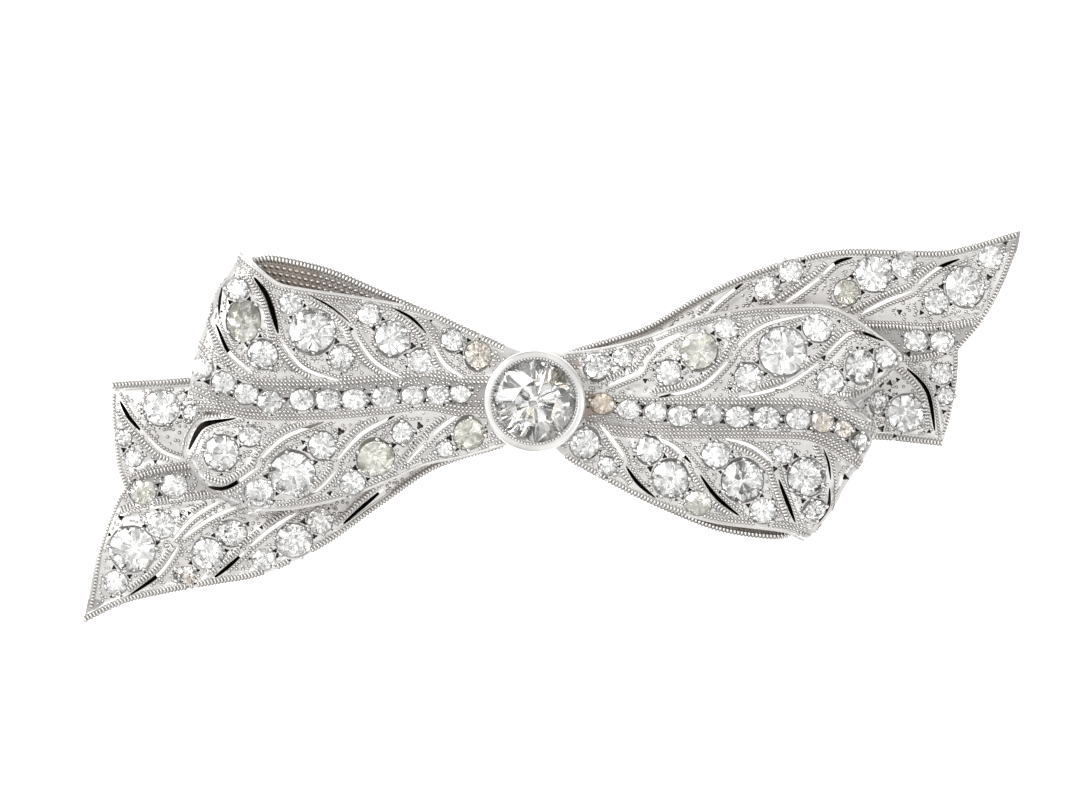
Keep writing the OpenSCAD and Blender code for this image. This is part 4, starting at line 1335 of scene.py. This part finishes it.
def edge_row(ribbon, which, inset, first, last):
    """An unrolled curve inside edge a (0) or edge b (1)."""
    x = np.arange(ribbon.x_at(first), ribbon.x_at(last), ROW_STEP)
    y = ribbon.edges(ribbon.s_at(x))[which] + (inset if which == 0 else -inset)
    return np.column_stack([x, y])


def end_row(ribbon, inset):
    """An unrolled curve inside a tail's end."""
    low, high = ribbon.edges(float(ribbon.s_end))
    y = np.arange(low + inset, high - inset, ROW_STEP)
    return np.column_stack([np.full(len(y), ribbon.x_grid[-1] - OUTLINE_INSET - inset), y])


def slot_rows(ribbon, beads):
    """The beads beside the slots: bars on the side towards -X, and fine ones on the other side."""
    for line in ribbon.lines:
        curve = line["curve"]
        towards = beside(curve, 1)[len(curve) // 2] - curve[len(curve) // 2]
        for side in (1, -1):
            bead = BAR if side * towards[0] < 0 else FINE
            offset = side * (SLOT_W / 2 + bead.across + SLOT_BEAD_GAP)
            row = lengthened(beside(curve, offset), SLOT_ROW_EXTRA)
            beads.row(ribbon, ribbon.plan_to_flat(row), bead)


def beading(ribbon, beads):
    """The beaded edges, the beaded bands beside the rib and the beads beside the slots."""
    for which in (0, 1):
        ribbed_end = ribbon.s_end
        if ribbon.is_loop:
            ribbed_end = EDGE_PARTING[ribbon.name] if which == 0 else BEADING_START
        if ribbed_end > BEADING_START:
            wire_end = ribbed_end - WIRE_SHORT
            beads.row(ribbon, edge_row(ribbon, which, RIM_INSET, BEADING_START, ribbed_end), BAR)
            beads.wire(ribbon, edge_row(ribbon, which, RIM_WIRE_INSET, BEADING_START, wire_end))
        if ribbon.is_loop:
            beads.wire(ribbon, edge_row(ribbon, which, LOOP_WIRE_INSET, ribbed_end, ribbon.front_end))
            for inset in LOOP_ROW_INSETS:
                beads.row(ribbon, edge_row(ribbon, which, inset, ribbed_end, ribbon.front_end), FINE)
    if not ribbon.is_loop:
        beads.row(ribbon, end_row(ribbon, RIM_INSET), SHORT_BAR)
    if ribbon.name in LOBE_ROWS:
        curve = curve_through([from_photo(u, v) for u, v in LOBE_ROWS[ribbon.name]])
        beads.row(ribbon, ribbon.plan_to_flat(curve), BAR)
    for y, bead in ribbon.bands:
        beads.row(ribbon, band(ribbon, y, BEADING_START, ribbon.front_end), bead)
    slot_rows(ribbon, beads)
    for sweep in SWEEPS.get(ribbon.name, []):
        curve = curve_through([from_photo(u, v) for u, v in sweep])
        for offset in SWEEP_OFFSETS:
            beads.row(ribbon, ribbon.plan_to_flat(beside(curve, offset)), MEDIUM)


def back_beading(ribbon, rim_materials, materials):
    """The ribbed edge and the rows of grains on the inner side of a loop's back, where it is open."""
    after_fold, before_knot = BACK_MARGINS
    first, last = ribbon.front_end + after_fold, ribbon.s_end - before_knot
    rim = Beads()
    rim.row(ribbon, edge_row(ribbon, 0, RIM_INSET, first, last), WIDE_BAR, side=-1)
    rim.piece(f"{ribbon.name}_back_edge", rim_materials, "ribbon_metal")
    beads = Beads()
    for k in range(AZURE_ROWS):
        inset = AZURE_INSET + AZURE_STEP * k
        beads.row(ribbon, edge_row(ribbon, 0, inset, first, last), AZURE, side=-1)
    beads.piece(f"{ribbon.name}_back_beading", materials, "ribbon_metal")


def claws(ribbon, stone, beads):
    """The claws that hold a stone, where they don't stand on another stone."""
    turn = rng.uniform(0, math.pi)
    count = FEW_CLAWS if stone.radius < MANY_CLAWS_R else MANY_CLAWS
    angles = turn + 2 * math.pi * np.arange(count) / count
    angles = angles + rng.uniform(-CLAW_SWING, CLAW_SWING, count)
    sizes = rng.uniform(*CLAW_R, count)
    others = [other for other in ribbon.stones if other is not stone]
    for angle, size in zip(angles, sizes):
        reach = np.array([math.cos(angle) * stone.half_x, math.sin(angle) * stone.half_y])
        reach *= 1 + size * CLAW_OUT_SHARE / stone.radius
        place = stone.centre + reach[0] * stone.axis_x + reach[1] * stone.axis_y
        if any(np.linalg.norm(place - other.centre) < other.radius for other in others):
            continue
        place = place + stone.normal * (SHEET_T / 2 + CLAW_FOOT_H)
        if beads.is_free(place, CLAW_GAP):
            height = size * CLAW_H_SHARE
            beads.add(place[None], stone.normal[None], stone.axis_x[None], size, size, height)


def grains(ribbon, beads):
    """The claws that hold each stone, the fine grains round it, and those over the bare metal."""
    for stone in ribbon.stones:
        claws(ribbon, stone, beads)
    corners = ribbon.outline()
    low, high = corners.min(axis=0), corners.max(axis=0)
    steps = [np.arange(a, b, GRAIN_STEP) for a, b in zip(low, high)]
    grid = np.stack(np.meshgrid(*steps), -1).reshape(-1, 2)
    grid[:, 0] += GRAIN_STEP / 2 * (np.round(grid[:, 1] / GRAIN_STEP) % 2)
    grid += rng.uniform(-GRAIN_STRAY, GRAIN_STRAY, grid.shape)
    near = np.zeros(len(grid), bool)
    for stone in ribbon.stones:
        near |= np.linalg.norm(grid - stone.plan, axis=1) < stone.radius + GRAIN_REACH
    shares = GRAIN_SHARES[:2] if ribbon.is_loop else GRAIN_SHARES[2:]
    scatter(ribbon, beads, grid[rng.uniform(0, 1, len(grid)) < np.where(near, *shares)])


def scatter(ribbon, beads, plan):
    """Single fine grains at places in plan, where they have room on the ribbon's front."""
    sizes = rng.uniform(*GRAIN_R, len(plan))
    s, t = ribbon.locate(plan)
    keep = np.linalg.norm(ribbon.point(s, t)[:, :2] - plan, axis=1) < MOST_MISS
    flat = ribbon.to_flat(s, t)
    low, high = ribbon.edges(s)
    keep &= ribbon.clear(flat, GRAIN_CLEAR)
    keep &= np.minimum(flat[:, 1] - low, high - flat[:, 1]) > BORDER_W
    keep &= flat[:, 0] < ribbon.x_at(ribbon.front_end) - BORDER_W
    centres, normals = ribbon.lift(flat, ribbon.relief(flat))
    for i in np.flatnonzero(keep):
        if beads.is_free(centres[i], GRAIN_GAP):
            size = sizes[i]
            beads.add(centres[i][None], normals[i][None], X_AXIS[None], size, size, size)


def cut_stone(table, crown, pavilion, culet, deep):
    """An old European cut of unit radius, with its girdle at height 0: points and flat faces.

    table and culet are the radii of the two small flats, crown and pavilion their heights over and under
    the girdle, and deep is how far out the pavilion's long facets reach.
    """
    points = []
    faces = []

    def ring(radius, z, count, half_turn=False):
        start = len(points)
        for k in range(count):
            angle = 2 * math.pi * (k + (0.5 if half_turn else 0)) / count
            points.append((radius * math.cos(angle), radius * math.sin(angle), z))
        return [start + k for k in range(count)]

    top = ring(table, crown, CUT_SIDES)
    star = ring((table + 1) / 2 + CROWN_RING_OUT, crown * CROWN_RING_UP, CUT_SIDES, True)
    upper = ring(1, GIRDLE_HALF_H, GIRDLE_SIDES)
    lower = ring(1, -GIRDLE_HALF_H, GIRDLE_SIDES)
    way_out = (deep * math.cos(math.pi / CUT_SIDES) - culet) / (1 - culet)
    deep_ring = ring(deep, -pavilion + way_out * (pavilion - GIRDLE_HALF_H), CUT_SIDES, True)
    tip = ring(culet, -pavilion, CUT_SIDES)
    faces.append(tuple(top))
    faces.append(tuple(tip[::-1]))
    for k in range(CUT_SIDES):
        after, before = (k + 1) % CUT_SIDES, k - 1
        g0, g1, g2 = 2 * k, 2 * k + 1, (2 * k + 2) % GIRDLE_SIDES
        faces += [
            (top[k], star[k], top[after]),
            (top[k], star[before], upper[g0], star[k]),
            (star[k], upper[g0], upper[g1]),
            (star[k], upper[g1], upper[g2]),
            (tip[k], tip[after], deep_ring[k]),
            (tip[k], deep_ring[k], lower[g0], deep_ring[before]),
            (deep_ring[k], lower[g1], lower[g0]),
            (deep_ring[k], lower[g2], lower[g1]),
        ]
    for k in range(GIRDLE_SIDES):
        after = (k + 1) % GIRDLE_SIDES
        faces.append((upper[k], lower[k], lower[after], upper[after]))
    return np.array(points), faces


def star_reflection_flats(first):
    """The star's flats of painted dark reflection: their points, and their faces, which count from first.
    """
    points = []
    for start, end, inner, outer in STAR_DARK_REFLECTIONS:
        for radius, degrees in ((inner, start), (outer, start), (outer, end), (inner, end)):
            angle = math.radians(degrees)
            points.append((radius * math.cos(angle), radius * math.sin(angle), STAR_Z))
    return np.array(points), [tuple(first + 4 * k + i for i in range(4)) for k in range(len(STAR_DARK_REFLECTIONS))]


def placed_stone(stone, height):
    """Points and faces of a small stone, turned and tilted a little in its seat."""
    cut = {name: rng.uniform(least, most) for name, (least, most) in CUTS.items()}
    points, faces = cut_stone(**cut)
    if stone.tint == "star":
        flats, flat_faces = star_reflection_flats(len(points))
        points, faces = np.vstack([points, flats]), faces + flat_faces
    else:
        turn = rng.uniform(0, math.pi / 4)
        c, s = math.cos(turn), math.sin(turn)
        points = points @ np.array([[c, s, 0], [-s, c, 0], [0, 0, 1]])
    lean = rng.normal(0, STONE_LEAN, 2)
    normal = stone.normal + lean[0] * stone.axis_x + lean[1] * stone.axis_y
    normal /= np.linalg.norm(normal)
    axis_x = stone.axis_x - normal * (stone.axis_x @ normal)
    axis_x /= np.linalg.norm(axis_x)
    axis_y = np.cross(normal, axis_x)
    local = (
        points[:, 0:1] * stone.half_x * axis_x
        + points[:, 1:2] * stone.half_y * axis_y
        + points[:, 2:3] * stone.radius * normal
    )
    return stone.centre + stone.normal * height + local, faces


def stone_pieces(ribbon, glasses):
    """The ribbon's small stones, one piece for each tint."""
    for tint, glasses_there in glasses.items():
        points, faces, kinds, count = [], [], [], 0
        for stone in ribbon.stones:
            if stone.tint != tint:
                continue
            p, f = placed_stone(stone, SHEET_T / 2 + COLLAR_H + STONE_LIFT)
            points.append(p)
            faces += [tuple(count + k for k in face) for face in f]
            kinds += [int(i in TWO_TONE.get(tint, ())) for i in range(len(f))]
            count += len(p)
        if points:
            name = f"{ribbon.name}_stones_{tint}"
            make_object(name, np.vstack(points), faces, glasses_there, kinds)


def turned(profile, centre, segments):
    """Points and faces of a closed profile of [radius, z] turned about a vertical axis."""
    x, y = centre
    points = []
    faces = []
    n = len(profile)
    for k in range(segments):
        angle = 2 * math.pi * k / segments
        for radius, z in profile:
            points.append((x + radius * math.cos(angle), y + radius * math.sin(angle), z))
    for k in range(segments):
        here, there = k * n, (k + 1) % segments * n
        for i in range(n):
            j = (i + 1) % n
            faces.append((here + i, there + i, there + j, here + j))
    return points, faces


def knot_piece(material):
    """The open tube that joins the ribbons under the collet."""
    narrow = KNOT_R - KNOT_CHAMFER
    profile = [
        (KNOT_BORE_R, KNOT_BOTTOM_Z),
        (narrow, KNOT_BOTTOM_Z),
        (KNOT_R, KNOT_BOTTOM_Z + KNOT_CHAMFER),
        (KNOT_R, KNOT_TOP_Z - KNOT_CHAMFER),
        (narrow, KNOT_TOP_Z),
        (KNOT_BORE_R, KNOT_TOP_Z),
    ]
    points, faces = turned(profile, KNOT, KNOT_SEGMENTS)
    piece = make_object("knot_tube", points, faces, [material], smooth=TURNED_SMOOTH)
    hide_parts("ribbon_bow")


def peg_piece(name, x, y, material):
    """A hidden peg between a loop and the tail under it."""
    low, high = PEG_Z
    profile = [(PEG_AXIS_R, low), (PEG_R, low), (PEG_R, high), (PEG_AXIS_R, high)]
    points, faces = turned(profile, (x, y), PEG_SEGMENTS)
    piece = make_object(name, points, faces, [material], smooth=TURNED_SMOOTH)
    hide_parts("ribbon_bow")


def collet_piece(materials):
    """The plain collet, rubbed over the stone, with a rounded rim and a sloping inner wall."""
    profile = [(CENTRE_STONE_R - BEARING_W, COLLET_Z)]
    profile += [(COLLET_R - inwards, COLLET_Z + up) for inwards, up in COLLET_OUTSIDE]
    crest = COLLET_R - CREST_HALF_W
    for k in range(CREST_STEPS):
        angle = math.radians(90 * k / CREST_STEPS)
        radius = crest + CREST_HALF_W * math.cos(angle)
        profile.append((radius, COLLET_RIM_Z - CREST_DROP + CREST_H * math.sin(angle)))
    inner = CENTRE_STONE_R + LIP_TOP_OUT
    for k in range(LIP_STEPS + 1):
        angle = math.radians(90 * k / LIP_STEPS)
        z = COLLET_RIM_Z - LIP_ROUND + LIP_ROUND * math.cos(angle)
        profile.append((inner - LIP_ROUND * math.sin(angle), z))
    ledge = len(profile) - 1
    profile += [(CENTRE_STONE_R + out, GIRDLE_Z + up) for out, up in COLLET_INSIDE]
    points, faces = turned(profile, KNOT, COLLET_SEGMENTS)
    # The face under the lip takes the darker metal, as painted shade between the rim and the stone
    kinds = [int(k % len(profile) == ledge) for k in range(len(faces))]
    piece = make_object("collet", points, faces, materials, kinds, COLLET_SMOOTH)
    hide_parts("centre_collet")


def collet_beading(materials):
    """The fine beading round the collet's inner edge."""
    beads = Beads()
    turns = np.arange(COLLET_BEADS) * 2 * math.pi / COLLET_BEADS
    out = np.stack([np.cos(turns), np.sin(turns), np.zeros(COLLET_BEADS)], 1)
    ring_z, ring_r = GIRDLE_Z + COLLET_BEAD_UP, CENTRE_STONE_R + COLLET_BEAD_OUT
    centres = np.array([KNOT[0], KNOT[1], ring_z]) + out * ring_r
    normals = np.tile(Z_AXIS, (COLLET_BEADS, 1)) - COLLET_BEAD_TILT * out
    normals /= np.linalg.norm(normals, axis=1)[:, None]
    tangents = np.cross(Z_AXIS, out)
    beads.add(centres, normals, tangents, *COLLET_BEAD)
    beads.piece("collet_beading", materials, "collet_metal")


def centre_stone_piece(clear, smoky):
    """The old-cut centre stone, cut by hand and so uneven, with a few facets that look smoky."""
    points, faces = cut_stone(**CENTRE_CUT)
    uneven = np.linalg.norm(points[:, :2], axis=1) < UNEVEN_WITHIN
    points[uneven] += rng.normal(0, UNEVEN, (uneven.sum(), 3)) * [1, 1, UNEVEN_Z_SHARE]
    points = points * CENTRE_STONE_R + np.array([KNOT[0], KNOT[1], GIRDLE_Z])
    kinds = [int(k in SMOKY_FACETS) for k in range(len(faces))]
    piece = make_object("centre_diamond", points, faces, [clear, smoky], kinds)
    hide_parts("centre_stone")


def node_material(name):
    """A new material, its node tree and its shader."""
    material = bpy.data.materials.new(name)
    material.use_nodes = True
    tree = material.node_tree
    return material, tree, tree.nodes["Principled BSDF"]


def set_inputs(tree, node, values):
    """Sets a node's inputs: a socket is linked, and a number or colour is set on the input itself."""
    for name, value in values.items():
        if isinstance(value, bpy.types.NodeSocket):
            tree.links.new(value, node.inputs[name])
        else:
            node.inputs[name].default_value = value


def add_node(tree, kind, **values):
    """A new node, with its inputs given by their names, _ standing for a space."""
    node = tree.nodes.new(f"ShaderNode{kind}")
    set_inputs(tree, node, {name.replace("_", " "): value for name, value in values.items()})
    return node


def mottle(tree, per_mm, light, dark, spread=(0, 1), **detail):
    """A colour that varies between light and dark like cloud, per_mm times in a millimetre."""
    place = add_node(tree, "TexCoord").outputs["Object"]
    cloud = add_node(tree, "TexNoise", Vector=place, Scale=per_mm / MM, **detail)
    ramp = add_node(tree, "ValToRGB", Fac=cloud.outputs["Fac"])
    for stop, position, colour in zip(ramp.color_ramp.elements, spread, (dark, light)):
        stop.position = position
        stop.color = (*colour, 1)
    return ramp.outputs["Color"]


def metal(name, light, dark, roughness, grain_mm, bump):
    """Polished metal, mottled between two colours, with a fine worked surface."""
    material, tree, shader = node_material(name)
    place = add_node(tree, "TexCoord").outputs["Object"]
    fine = add_node(tree, "TexNoise", Vector=place, Scale=1 / (grain_mm * MM), Detail=3).outputs["Fac"]
    least, most = (roughness * share for share in GLOSS_SPREAD)
    gloss = add_node(tree, "MapRange", Value=fine, To_Min=least, To_Max=most)
    bumps = add_node(tree, "Bump", Height=fine, Strength=bump, Distance=BUMP_MM * MM)
    colour = mottle(tree, METAL_CLOUDS_PER_MM, light, dark, METAL_CLOUD_SPREAD, Detail=4)
    looks = {"Metallic": 1, "Base Color": colour, "Normal": bumps.outputs["Normal"]}
    set_inputs(tree, shader, {**looks, "Roughness": gloss.outputs["Result"]})
    return material


def glass(name, light, dark, clear):
    """Stone that lets that share of the light through, with a faint cloudiness in its colour."""
    material, tree, shader = node_material(name)
    colour = mottle(tree, GLASS_CLOUDS_PER_MM, light, dark)
    looks = {"Transmission Weight": clear, "IOR": DIAMOND_IOR, "Roughness": 0, "Base Color": colour}
    set_inputs(tree, shader, looks)
    return material


def floor_piece():
    """A pale floor, lit a little from below as on a light table."""
    material, tree, shader = node_material("floor")
    looks = {
        "Base Color": (FLOOR_SHADE, FLOOR_SHADE, FLOOR_SHADE, 1),
        "Roughness": FLOOR_ROUGHNESS,
        "Emission Color": (1, 1, 1, 1),
        "Emission Strength": FLOOR_GLOW,
    }
    set_inputs(tree, shader, looks)
    bpy.ops.mesh.primitive_plane_add(size=FLOOR_SIZE)
    floor = bpy.context.object
    floor.name = "floor"
    floor.data.materials.append(material)


def soft_light(name, place, size, radiance):
    """A square softbox that looks at the brooch. place is in metres."""
    data = bpy.data.lights.new(name, "AREA")
    data.size = size
    data.energy = radiance * math.pi * size**2
    light = bpy.data.objects.new(name, data)
    light.location = place
    light.rotation_euler = (-Vector(place)).to_track_quat("-Z", "Y").to_euler()
    bpy.context.collection.objects.link(light)


def math_node(tree, operation, *values):
    """The result of an operation on sockets and numbers in a node tree."""
    node = tree.nodes.new("ShaderNodeMath")
    node.operation = operation
    for socket, value in zip(node.inputs, values):
        if isinstance(value, (int, float)):
            socket.default_value = value
        else:
            tree.links.new(value, socket)
    return node.outputs["Value"]


def studio():
    """Plain soft light: a pale room that is dim low down and at the camera, with softboxes."""
    world = bpy.data.worlds.new("studio")
    bpy.context.scene.world = world
    world.use_nodes = True
    tree = world.node_tree
    place = add_node(tree, "TexCoord").outputs["Generated"]
    split = add_node(tree, "SeparateXYZ", Vector=place).outputs
    ramp = add_node(tree, "ValToRGB", Fac=split["Z"])
    steps = ramp.color_ramp.elements
    for step, shade in zip(steps, WORLD_ENDS):
        step.color = (shade, shade, shade, 1)
    for position, shade in WORLD_STEPS:
        steps.new(position).color = (shade, shade, shade * WORLD_WARMTH, 1)
    around = math_node(tree, "ARCTAN2", split["Y"], split["X"])
    wave = math_node(tree, "SINE", math_node(tree, "MULTIPLY_ADD", around, PANELS, math.pi / 2))
    strength = math_node(tree, "MULTIPLY_ADD", wave, PANEL_SWING, 1)
    light = {"Color": ramp.outputs["Color"], "Strength": strength}
    set_inputs(tree, tree.nodes["Background"], light)
    for row in SOFT_LIGHTS:
        soft_light(*row)


def camera_piece():
    """A very long lens straight over the brooch, framed as the photograph is."""
    data = bpy.data.cameras.new("camera")
    data.lens = LENS_MM
    data.sensor_width = SENSOR_MM
    x, y = from_photo(PHOTO_W / 2, PHOTO_H / 2)
    distance = PHOTO_W * MM_PER_PX * LENS_MM / SENSOR_MM
    camera = bpy.data.objects.new("camera", data)
    camera.location = (x * MM, y * MM, (FOCUS_Z + distance) * MM)
    bpy.context.collection.objects.link(camera)
    bpy.context.scene.camera = camera


looks = {name: metal(name, *row) for name, row in METALS.items()}
looks.update({name: glass(name, *row) for name, row in GLASSES.items()})


def looks_named(*names):
    """The materials with these names."""
    return [looks[name] for name in names]


glasses = {tint: looks_named(*names) for tint, names in TINTS.items()}
# The loops come first, since they cover parts of the tails
left_loop = Ribbon(
    "left_loop",
    LEFT_LOOP,
    LEFT_FOLD,
    rib_t=0.50,
    front_end=9.0,
    lines=LEFT_LOOP_LINES,
    chart=LEFT_LOOP_STONES,
    bands=LEFT_LOOP_BANDS,
    windows=[UPPER_BACK_WINDOW, LOWER_BACK_WINDOW],
)
right_loop = Ribbon(
    "right_loop",
    RIGHT_LOOP,
    RIGHT_FOLD,
    rib_t=0.50,
    front_end=9.0,
    lines=RIGHT_LOOP_LINES,
    chart=RIGHT_LOOP_STONES,
    bands=RIGHT_LOOP_BANDS,
)
left_tail = Ribbon(
    "left_tail",
    LEFT_TAIL,
    LEFT_NOTCH,
    rib_t=0.49,
    front_end=10.0,
    lines=LEFT_TAIL_LINES,
    chart=LEFT_TAIL_STONES,
    bands=TAIL_BANDS,
    windows=[LEFT_WINDOW],
    cover=left_loop.outline(),
)
right_tail = Ribbon(
    "right_tail",
    RIGHT_TAIL,
    RIGHT_NOTCH,
    rib_t=0.52,
    front_end=10.0,
    lines=RIGHT_TAIL_LINES,
    chart=RIGHT_TAIL_STONES,
    bands=TAIL_BANDS,
    windows=[RIGHT_WINDOW],
    cover=right_loop.outline(),
)
bead_metals = looks_named("bead_metal", "foot_shade_metal", "steep_bead_shade_metal")
for ribbon in (left_loop, right_loop, left_tail, right_tail):
    sheet_piece(ribbon, looks_named(*SHEET_METALS))
    beads = Beads()
    beading(ribbon, beads)
    grains(ribbon, beads)
    beads.piece(f"{ribbon.name}_beading", bead_metals, "ribbon_metal")
    stone_pieces(ribbon, glasses)
rim_metals = looks_named("bead_metal", "foot_shade_metal", "bead_metal")
# Beads inside a loop's back, in painted shade
inner_bead_metals = looks_named("inner_shade_bead_metal", "recess_shade_metal", "inner_shade_bead_metal")
for loop in (left_loop, right_loop):
    back_beading(loop, rim_metals, inner_bead_metals)
knot_piece(looks["ribbon_metal"])
for name, x, y in PEGS:
    peg_piece(name, x, y, looks["ribbon_metal"])
collet_piece(looks_named("collet_metal", "dim_shade_metal"))
# The beads' feet take the darker metal, as painted shade between them
collet_beading(looks_named("bead_metal", "dim_shade_metal"))
centre_stone_piece(looks["stone_white"], looks["stone_smoky"])

# The pin fitting stays the CAD model's own
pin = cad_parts["pin_fitting"]
pin.data.materials.clear()
pin.data.materials.append(looks["pin_metal"])

floor_piece()
studio()
camera_piece()

scene = bpy.context.scene
scene.view_settings.view_transform = "Standard"
scene.cycles.max_bounces = 20
scene.cycles.transmission_bounces = 16
scene.cycles.glossy_bounces = 6
